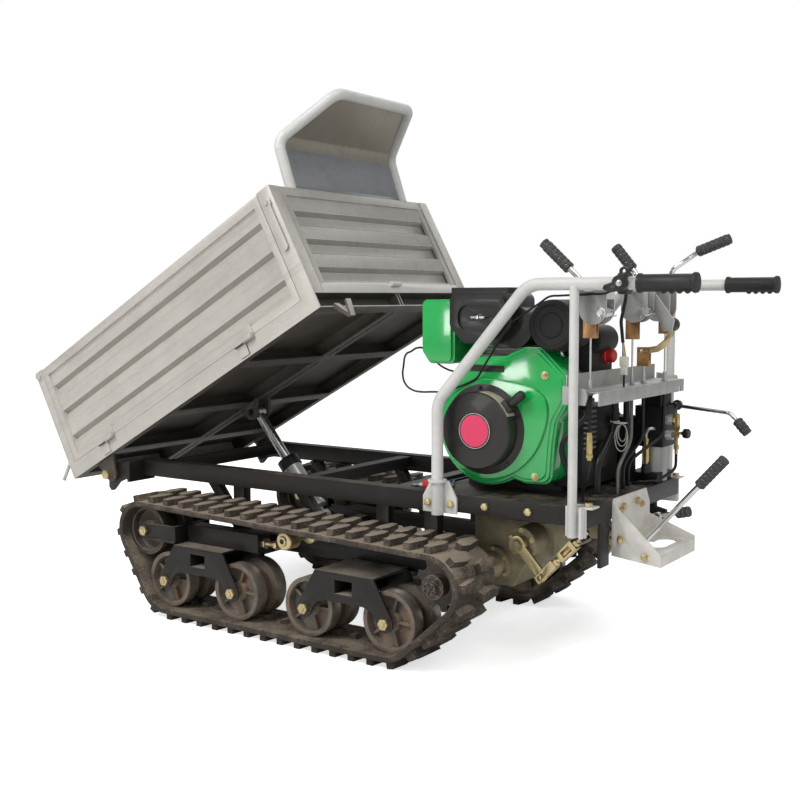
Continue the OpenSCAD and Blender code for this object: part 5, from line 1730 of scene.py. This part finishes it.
@dataclass
class Engine:
    """Engine block, shroud, starter, tank, air cleaner and muffler, in mm.

    Attributes:
        cylinder: Room of the cylinder's fins.
        rear_ribs: Room of the ribs on the rear cover.
        tank_cap: Room of the fuel tank's cap.
        tank_arms: Room of the arms that carry the tank.
        cleaner: Axis of the air cleaner, X and Z.
        wing_stem: Where the stem of its wing nut starts, and the stem's radius.
        wing: Where the wings start, and their reach.
        crank: Axis of the starter, X and Z.
        shroud_face: Face of the fan shroud.
        cover_face: Face of the recoil cover.
        cover_r: Its radius.
        boss_face: Face of its boss.
        disc_r: Radius of the disc on the boss.
        seat: How far a raised piece reaches into the face that carries it.
        vent_gap: Gap under the vent band.
        vent_t: Thickness of the band.
        vent_ends: Gaps from the band to the cover's face and to the shroud.
        vent_sweep: First and last angle of the band in degrees.
        volute: Angle in degrees and reach of points on the volute's rim.
        volute_rise: How far the volute stands out.
        flange_bolts: Screws of the shroud, X and Z.
        plate: Corners of the bare plate on the shroud, X and Z.
        plate_rise: How far the plate stands out.
        valve_cap: Seat of the valve cover's cap.
        cap: Profile of that cap.
        drain: Seat of the drain cap.
        drain_cap: Profile of the drain cap.
        pipe: Points of the injector pipe.
        pipe_r: Its radius.
        pipe_nuts: Ends of the nuts on the pipe.
        lifting_eye: Middle of the lifting eye.
        eye: Profile of the eye.
    """

    cylinder: Room = ((-INF, 620.0), ANY, (655.0, 800.0))
    rear_ribs: Room = ((707.0, INF), (-INF, -44.0), (539.0, 637.0))
    tank_cap: Room = (ANY, ANY, (914.6, INF))
    tank_arms: Room = ((388.6, INF), ANY, ANY)
    cleaner: Spot = (486.0, 870.0)
    wing_stem: Spot = (-222.5, 9.0)
    wing: Spot = (-230.5, 24.0)
    crank: Spot = (498.0, 590.0)
    shroud_face: float = -215.0
    cover_face: float = -267.0
    cover_r: float = 97.0
    boss_face: float = -270.0
    disc_r: float = 40.0
    seat: float = 1.0
    vent_gap: float = 0.1
    vent_t: float = 0.8
    vent_ends: Spot = (5.0, 12.0)
    vent_sweep: Spot = (-84.0, -24.0)
    volute: tuple[Spot, ...] = (
        (-170, 127), (-130, 127), (-95, 127), (-65, 130), (-42, 138), (-20, 151), (0, 166), (15, 182),
        (25, 188), (35, 180), (46, 160), (60, 142), (80, 130), (110, 127), (150, 127)
    )
    volute_rise: float = 8.5
    flange_bolts: tuple[Spot, ...] = ((663, 731), (638, 480))
    plate: tuple[Spot, Spot] = ((453, 734), (551, 751))
    plate_rise: float = 1.6
    valve_cap: Point = (590, -40, 867)
    cap: tuple[Spot, ...] = ((0, 22), (11, 22), (13, 19), (13, 6), (15, 4), (15, 0), (0, 0))
    drain: Point = (716, 18, 770)
    drain_cap: tuple[Spot, ...] = ((0, 26), (13, 26), (17, 22), (18, 8), (21, 6), (21, 0), (0, 0))
    pipe: tuple[Point, ...] = (
        (560, -42, 868), (560, -42, 888), (572, -54, 906), (600, -72, 898), (618, -84, 850),
        (622, -92, 760), (650, -92, 690), (668, -80, 660), (668, -78, 642)
    )
    pipe_r: float = 3.4
    pipe_nuts: tuple[tuple[Point, Point], ...] = (
        ((560, -42, 866), (560, -42, 884)), ((668, -78, 641), (668, -78, 658))
    )
    lifting_eye: Point = (540, -52, 880)
    eye: tuple[Spot, ...] = ((9, -4), (15, -4), (15, 4), (9, 4), (9, -4))

    def build(self) -> None:
        """Dress the engine."""
        fins = Zone(FIN_ALLOY, inside(self.cylinder, self.rear_ribs))
        fittings = Zone(BLACK_PLASTIC, inside(self.tank_cap, self.tank_arms))
        Skin("engine_block", ENGINE_DARK, None, 1.2, (fins,)).make()
        Skin("fan_shroud", GREEN, GREEN_EDGE, 4.5, segments=3).make()
        Skin("fuel_tank", GREEN, GREEN_EDGE, 6.0, (fittings,), 4).make()
        Skin("recoil_starter", STARTER_BLACK, None, 2.0).make()
        Skin("air_cleaner", BLACK_PLASTIC, None, 5.0, (Zone(ZINC, self._wing),), 3).make()
        Skin("muffler", HOT_BLACK, None, 1.5).make()
        self._starter_trim()
        self._shroud_trim()
        self._volute()
        self._head_trim()

    def _wing(self, centre: Vector, normal: Vector) -> bool:
        """Wing nut of the air cleaner.

        Args:
            centre: Face centre in mm.
            normal: Face normal.

        Returns:
            True on such a face.
        """
        axis = (self.cleaner[0], centre.y, self.cleaner[1])
        (stem_face, stem_r), (wing_face, reach) = self.wing_stem, self.wing
        stem = centre.y < stem_face and abs(normal.y) < 0.7 and near(centre, axis, stem_r)
        return stem or (centre.y < wing_face and near(centre, axis, reach))

    def _starter_trim(self) -> None:
        """Plain red disc in its rim, and the vent band round the recoil cover."""
        x, z = self.crank
        boss, rim = (x, self.boss_face, z), self.disc_r
        disc = ((0, -1.2), (rim - 1, -1.2), (rim, -0.4), (rim, 0.6), (0, 0.6))
        fit(Bench.lathe("starter_disc", boss, Axis.Y, disc, 64), "chassis", DISC_RED)
        trim = ((rim + 2.4, 0.4), (rim + 3, -1.0), (rim + 4.2, -1.0), (rim + 4.8, 0.4), (rim + 2.4, 0.4))
        fit(Bench.lathe("starter_ring", boss, Axis.Y, trim, 64), "chassis", ZINC)
        low, high = self.cover_face + self.vent_ends[0] - self.shroud_face, -self.vent_ends[1]
        skin = self.cover_r + self.vent_gap
        outer = skin + self.vent_t
        band = ((skin, low), (outer, low), (outer, high), (skin, high), (skin, low))
        vent = Bench.lathe("starter_vents", (x, self.shroud_face, z), Axis.Y, band, 30, self.vent_sweep)
        fit(vent, "chassis", VENT_MESH)

    def _shroud_trim(self) -> None:
        """Flange screws and the bare dark plate of the shroud."""
        face = self.shroud_face
        seats = [(x, face, z) for x, z in self.flange_bolts]
        screws = Bench.bolts("shroud_screws", seats, (0, -1, 0), Head.LARGE)
        fit(Bench.join("shroud_screws", screws), "chassis", ZINC_YELLOW)
        (x0, z0), (x1, z1) = self.plate
        low, high = (x0, face - self.plate_rise, z0), (x1, face + self.seat, z1)
        plate = Bench.block("shroud_plate", low, high, 0.8)
        fit(plate, "chassis", BLACK_PLASTIC)

    def _volute(self) -> None:
        """Raised volute of the fan round the starter, widest at the upper right."""
        x, z = self.crank
        y = self.shroud_face + self.seat
        rim = []
        for turn, reach in self.volute:
            angle = math.radians(turn)
            rim.append((x + reach * math.cos(angle), y, z + reach * math.sin(angle)))
        outline = spline([*rim, rim[0]], 5)[:-1]
        fit(Bench.pad("shroud_volute", outline, (0, -self.volute_rise, 0), 6.0), "chassis", GREEN)

    def _head_trim(self) -> None:
        """Valve cover cap, drain cap, injector pipe with its nuts, and lifting eye."""
        fit(Bench.lathe("valve_cap_red", self.valve_cap, Axis.Z, self.cap), "chassis", RED_PLASTIC)
        fit(Bench.lathe("drain_cap_red", self.drain, Axis.X, self.drain_cap), "chassis", RED_PLASTIC)
        fit(wire("injector_pipe", self.pipe, self.pipe_r, ZINC), "chassis")
        nuts = [Bench.rod("injector_nuts", start, end, 9, 6, 1.0) for start, end in self.pipe_nuts]
        nuts.append(Bench.lathe("injector_nuts", self.lifting_eye, Axis.Y, self.eye, 28))
        fit(Bench.join("injector_nuts", nuts), "chassis", ZINC_YELLOW)


@dataclass
class Console:
    """Handlebar, levers, cable shelf, shift gate and valve, in mm.

    Attributes:
        tabs: Room of the tabs that carry the levers.
        tab_out: How far the side of a tab faces sideways.
        tab_gap: Gap between a pair of tabs.
        tab_wall: Thickness of a tab.
        lever_z: Height of the lever pivots.
        pivots: The pivots, X and Y.
        grips: Levers with a knurled end: node, where the grip starts, and a point further on.
        crank_grip: Middle of the brake crank's grip.
        crank_grip_r: Reach of the grip.
        wire_ends: Height under which each cable link is bare wire.
        throttle: Seat of the throttle's screw.
        washer: Profile of a pivot's washer.
        washer_t: Its thickness.
        split_legs: Points of the two legs of a split pin, X and Z from the pivot.
        split_gap: Distance of a split pin from its tab.
        split_r: Radius of its wire.
        shelf_z: Top of the cable shelf.
        holes: Cable holes in the shelf, X and Y.
        nut: Profile of an adjuster's nut.
        nut_seats: Heights of the two nuts from the shelf's top.
        stem: Profile of an adjuster's stem.
        sleeve: Profile of the brass sleeve on the near sheath.
        sleeve_z: Its lower end.
        gate_side: Bolts in the shift gate's slots.
        gate_back: Bolts through its back.
        can: Axis of the valve's can, X and Y, and its reach.
        can_span: Heights that it lies between.
        ports: Room of the valve's ports.
        port: Middle of the port that carries the fittings.
        fall: Shift of the falling fittings from the port, X and Y.
        elbow: Start and end of the elbow from the port, X.
        knob_stem: Start and end of the knob's stem from the port, X, and its height.
        knob_x: Foot of the knob from the port.
        drop: Profile of the falling fittings.
        post_seat: Foot of the fittings' post.
        post: Profile of the post.
        boot_z: Foot of the rubber boot under it.
        boot: Profile of the boot.
        hook: Points of the pipe that leaves the post.
        knob: Profile of the valve's knob.
        connector: Place of the wire connector, X and Y.
        plugs: Its halves: half length, half width, and low and high end above the shelf.
        tail: Low and high end of the wire below it, above the shelf.
        tail_r: Radius of that wire.
        leads: Wires above the connector: name, offset and finish.
        lead_way: Points of a wire: X, share of its offset, and height above the shelf.
        lead_r: Radius of a wire.
        wire_sleeve: Corners of the wires' sleeve: X from the connector, and height.
        tie: Place of the tie round the pressure hose.
        tie_band: Profile of its band.
        tie_tail: Corners of its tail.
    """

    tabs: Room = ((770.0, 846.0), (-262.0, 262.0), (-INF, 934.0))
    tab_out: float = 0.9
    tab_gap: float = 44.0
    tab_wall: float = 2.0
    lever_z: float = 884.0
    pivots: tuple[Spot, ...] = ((830, -236), (830, 0), (790, 150))
    grips: tuple[tuple[str, Point, Point], ...] = (
        ("steer_lever_left", (738, -236, 985), (668, -236, 1049)),
        ("steer_lever_right", (794, 0, 988), (746, 0, 1045)),
        ("clutch_lever", (904, 150, 1033), (988, 150, 1064)),
        ("shift_lever", (975.9, -20, 455.9), (984, -20, 465)),
        ("range_lever", (878, 107, 364), (888, 107, 366.5)),
        ("valve_lever", (974, 274, 596), (980.7, 274, 588.6)),
    )
    crank_grip: Point = (872, 60, 850)
    crank_grip_r: float = 28.0
    wire_ends: tuple[float, ...] = (815.0, 815.0, 815.0, 745.0)
    throttle: Point = (900.0, -322.0, 950.0)
    washer: tuple[Spot, ...] = ((6.2, 0.1), (11, 0.1), (11, 1.6), (6.2, 1.6), (6.2, 0.1))
    washer_t: float = 1.7
    split_legs: tuple[tuple[Spot, ...], ...] = (
        ((-10, 13), (-4, 6), (2, -3), (9, -9), (15, -6)),
        ((-10, 13), (-13, 8), (-7, 2), (1, -8), (-2, -15)),
    )
    split_gap: float = 3.6
    split_r: float = 1.3
    shelf_z: float = 700.0
    holes: tuple[Spot, ...] = ((793, -236), (796, 0), (822, 150), (802, 60))
    nut: tuple[Spot, ...] = ((3.1, 0), (8.6, 0), (8.6, 7), (3.1, 7), (3.1, 0))
    nut_seats: Spot = (0.2, -10.4)
    stem: tuple[Spot, ...] = ((3.1, 7), (4.8, 7), (4.8, 24), (4.0, 26), (3.1, 26), (3.1, 7))
    sleeve: tuple[Spot, ...] = (
        (4.6, 0), (5.4, 0), (5.4, 5), (8.4, 6), (8.4, 14), (6.4, 15), (7.2, 17), (7.2, 58), (5.6, 62),
        (5.6, 66), (4.6, 66), (4.6, 0)
    )
    sleeve_z: float = 536.0
    gate_side: tuple[Point, ...] = ((838, -150, 336), (900, -150, 300))
    gate_back: tuple[Point, ...] = ((818, -112, 398), (818, 20, 398))
    can: tuple[Spot, float] = ((776, 206), 35.0)
    can_span: Spot = (456.0, 523.0)
    ports: Room = ((816.5, INF), ANY, (-INF, 612.0))
    port: Point = (834.0, 186.0, 596.0)
    fall: Spot = (9.0, 2.0)
    elbow: Spot = (-2.0, 7.0)
    knob_stem: Point = (9.0, 25.0, -34.0)
    knob_x: float = 23.0
    drop: tuple[Spot, ...] = (
        (0, -90), (5, -90), (5, -78), (8, -77), (8, -66), (5.5, -65), (5.5, -48), (8.5, -47), (8.5, -32),
        (6.5, -30), (9.5, -22), (9.5, 14), (6, 18), (0, 18)
    )
    post_seat: Point = (774, 150.5, 478)
    post: tuple[Spot, ...] = (
        (0, 0), (6, 0), (6, 6), (9, 7), (9, 46), (6, 48), (6, 60), (7.5, 61), (7.5, 68), (0, 68)
    )
    boot_z: float = 455.0
    boot: tuple[Spot, ...] = ((0, 0), (12, 0), (12, 14), (9, 24), (0, 24))
    hook: tuple[Point, ...] = (
        (774, 150.5, 545), (774, 150.5, 560), (782, 148, 572), (790, 154, 574), (792, 161, 572)
    )
    knob: tuple[Spot, ...] = ((0, 0), (5, 0), (5, 4), (12, 6), (13, 10), (13, 18), (10, 22), (0, 22))
    connector: Spot = (805.0, -70.0)
    plugs: tuple[tuple[float, float, float, float], ...] = ((10, 7, 50, 74), (8, 6, 29, 52))
    tail: Spot = (-1.0, 31.0)
    tail_r: float = 2.6
    leads: tuple[tuple[str, float, Finish], ...] = (
        ("lead_black", -4, CABLE), ("lead_white", 0, WHITE_PLASTIC), ("lead_orange", 4, WIRE_ORANGE)
    )
    lead_way: tuple[Point, ...] = ((-4, 0.25, 112), (-2, 0.5, 96), (0, 1, 72))
    lead_r: float = 1.7
    wire_sleeve: tuple[Spot, ...] = ((3, 932), (1, 912), (-10, 860), (-4, 808))
    tie: Point = (770, -40, 606)
    tie_band: tuple[Spot, ...] = ((9.2, 0), (11.4, 0), (11.4, 5), (9.2, 5), (9.2, 0))
    tie_tail: tuple[Point, Point] = ((776, -66, 607), (806, -46, 609.4))

    def build(self) -> None:
        """Dress the operator's place."""
        in_tabs = inside(self.tabs)
        tabs = Zone(TAB_STEEL, lambda c, n: in_tabs(c, n) and abs(n.y) > self.tab_out)
        Skin("handlebar", BAR_PAINT, None, 0.8, (tabs,)).make()
        Skin("handle_grips", GRIP_RUBBER, None, 1.0).make()
        Skin("cable_shelf", SHELF_STEEL, None, 0.8).make()
        Skin("shift_gate", GALVANISED, None, 0.8).make()
        self._levers()
        for number, height in enumerate(self.wire_ends, 1):
            bare = Zone(ZINC, inside((ANY, ANY, (-INF, height))))
            Skin(f"cable_link_{number}", COPPER, None, 0.6, (bare,)).make()
        self._pins()
        self._adjusters()
        self._gate_bolts()
        self._valve()
        self._fittings()
        self._harness()
        self._tie()

    def _levers(self) -> None:
        """Chrome rods with knurled grips, the brake crank and the throttle."""
        for node, start, end in self.grips:
            Skin(node, CHROME, None, 0.8, (Zone(KNURL, beyond(start, end)),)).make()
        rubber = Zone(GRIP_RUBBER, lambda c, n: near(c, self.crank_grip, self.crank_grip_r))
        Skin("brake_crank", ZINC_YELLOW, None, 1.0, (rubber,)).make()
        Skin("throttle_lever", BLACK_PLASTIC, None, 1.5).make()
        screw = Bench.bolts("throttle_screw", [self.throttle], (0, -1, 0), Head.LOW)
        fit(screw[0], "throttle_lever", ZINC)

    def _pins(self) -> None:
        """Washers and split pins on both sides of the lever pivots."""
        washers, splits = [], []
        for x, y in self.pivots:
            for out in (-1, 1):
                face = y + out * (self.tab_gap / 2 + self.tab_wall)
                washers.append((x, face - (self.washer_t if out < 0 else 0.0), self.lever_z))
                splits.append((x, face + out * self.split_gap, self.lever_z))
        washer = Bench.lathe("pin_washers", washers[0], Axis.Y, self.washer, 28)
        x, y, z = splits[0]
        legs = [
            wire("split_pins", [(x + dx, y, z + dz) for dx, dz in leg], self.split_r, ZINC)
            for leg in self.split_legs
        ]
        split = Bench.join("split_pins", legs)
        fit(Bench.join("pin_washers", Bench.spread(washer, washers)), "chassis", ZINC)
        fit(Bench.join("split_pins", Bench.spread(split, splits)), "chassis", ZINC)

    def _adjusters(self) -> None:
        """Threaded cable adjusters with their nuts at the shelf, and the brass sleeve of the near sheath."""
        x, y = self.holes[0]
        seats = [(x, y, self.shelf_z + height) for height in self.nut_seats]
        nuts = Bench.spread(Bench.lathe("adjuster_nuts", seats[0], Axis.Z, self.nut, 6), seats)
        stem = Bench.lathe("adjuster_nuts", (x, y, self.shelf_z), Axis.Z, self.stem, 20)
        adjuster = Bench.join("adjuster_nuts", (*nuts, stem))
        places = [(*hole, self.shelf_z) for hole in self.holes]
        fit(Bench.join("adjuster_nuts", Bench.spread(adjuster, places)), "chassis", ZINC)
        sleeve = Bench.lathe("adjuster_sleeve", (x, y, self.sleeve_z), Axis.Z, self.sleeve, 20)
        fit(sleeve, "chassis", BRASS)

    def _gate_bolts(self) -> None:
        """Bolts in the slots of the shift gate and through its back."""
        bolts = Bench.bolts("gate_bolts", self.gate_side, (0, -1, 0), Head.LARGE)
        bolts += Bench.bolts("gate_bolts", self.gate_back, (1, 0, 0), Head.LARGE)
        fit(Bench.join("gate_bolts", bolts), "chassis", ZINC_YELLOW)

    def _valve(self) -> None:
        """Hydraulic valve with its can and ports."""
        (x, y), reach = self.can
        low, high = self.can_span
        can = Zone(SILVER_CAN, lambda c, n: low < c.z < high and math.hypot(c.x - x, c.y - y) < reach)
        Skin("control_valve", HOT_BLACK, None, 1.5, (can, Zone(ZINC, inside(self.ports)))).make()

    def _fittings(self) -> None:
        """Brass fittings of the valve, their rubber boot and pipe, and the knob."""
        x, y, z = self.port
        name, side = "valve_fittings", y + self.fall[1]
        start, end, height = self.knob_stem
        low = z + height
        fall = Bench.lathe(name, (x + self.fall[0], side, z), Axis.Z, self.drop, 6)
        elbow = Bench.rod(name, (x + self.elbow[0], y, z), (x + self.elbow[1], side, z), 9.5, 6, 1.0)
        stem = Bench.rod(name, (x + start, side, low), (x + end, side, low), 4.0)
        post = Bench.lathe(name, self.post_seat, Axis.Z, self.post, 6)
        fit(Bench.join(name, (fall, elbow, stem, post)), "chassis", BRASS)
        foot = (*self.post_seat[:2], self.boot_z)
        fit(Bench.lathe("valve_boot", foot, Axis.Z, self.boot), "chassis", GRIP_RUBBER)
        fit(wire("valve_elbow", self.hook, 5.0, ZINC), "chassis")
        knob = Bench.lathe("valve_knob", (x + self.knob_x, side, low), Axis.X, self.knob)
        fit(knob, "chassis", BLACK_PLASTIC)

    def _harness(self) -> None:
        """White connector on the shelf with its wires and their sleeve."""
        x, y = self.connector
        shelf = self.shelf_z
        halves = []
        for long, wide, low, high in self.plugs:
            corners = (x - long, y - wide, shelf + low), (x + long, y + wide, shelf + high)
            halves.append(Bench.block("wire_connector", *corners, 1.5))
        pieces = [fit(Bench.join("wire_connector", halves), "chassis", WHITE_PLASTIC)]
        ends = [(x, y, shelf + height) for height in self.tail]
        tail = Bench.rod("connector_tail", *ends, self.tail_r, 14, 0.4)
        pieces.append(fit(tail, "chassis", CABLE))
        for name, offset, finish in self.leads:
            line = [(x + dx + offset * share, y, shelf + height) for dx, share, height in self.lead_way]
            pieces.append(fit(wire(name, line, self.lead_r, finish), "chassis"))
        corners = tuple((x + dx, y, height) for dx, height in self.wire_sleeve)
        Route("wire_sleeve", corners, 4.2, 40.0, CABLE, 18, Tip.CONNECTOR).lay(pieces)

    def _tie(self) -> None:
        """Tie round the pressure hose, whose tail carries the spare wire."""
        tail = Bench.block("hose_tie", *self.tie_tail, 0.8)
        band = Bench.lathe("hose_tie", self.tie, Axis.Z, self.tie_band, 30)
        fit(Bench.join("hose_tie", (band, tail)), "chassis", WHITE_PLASTIC)


def main() -> None:
    """Build the studio and the cords, then the machine from the ground up."""
    logging.basicConfig(level=logging.INFO, format="%(name)s: %(message)s")
    for part in (Studio(), Cords(), Undercarriage(), Chassis(), LoadBed(), Engine(), Console()):
        part.build()
        LOG.info("%s is dressed", type(part).__name__)


if __name__ == "__main__":
    main()
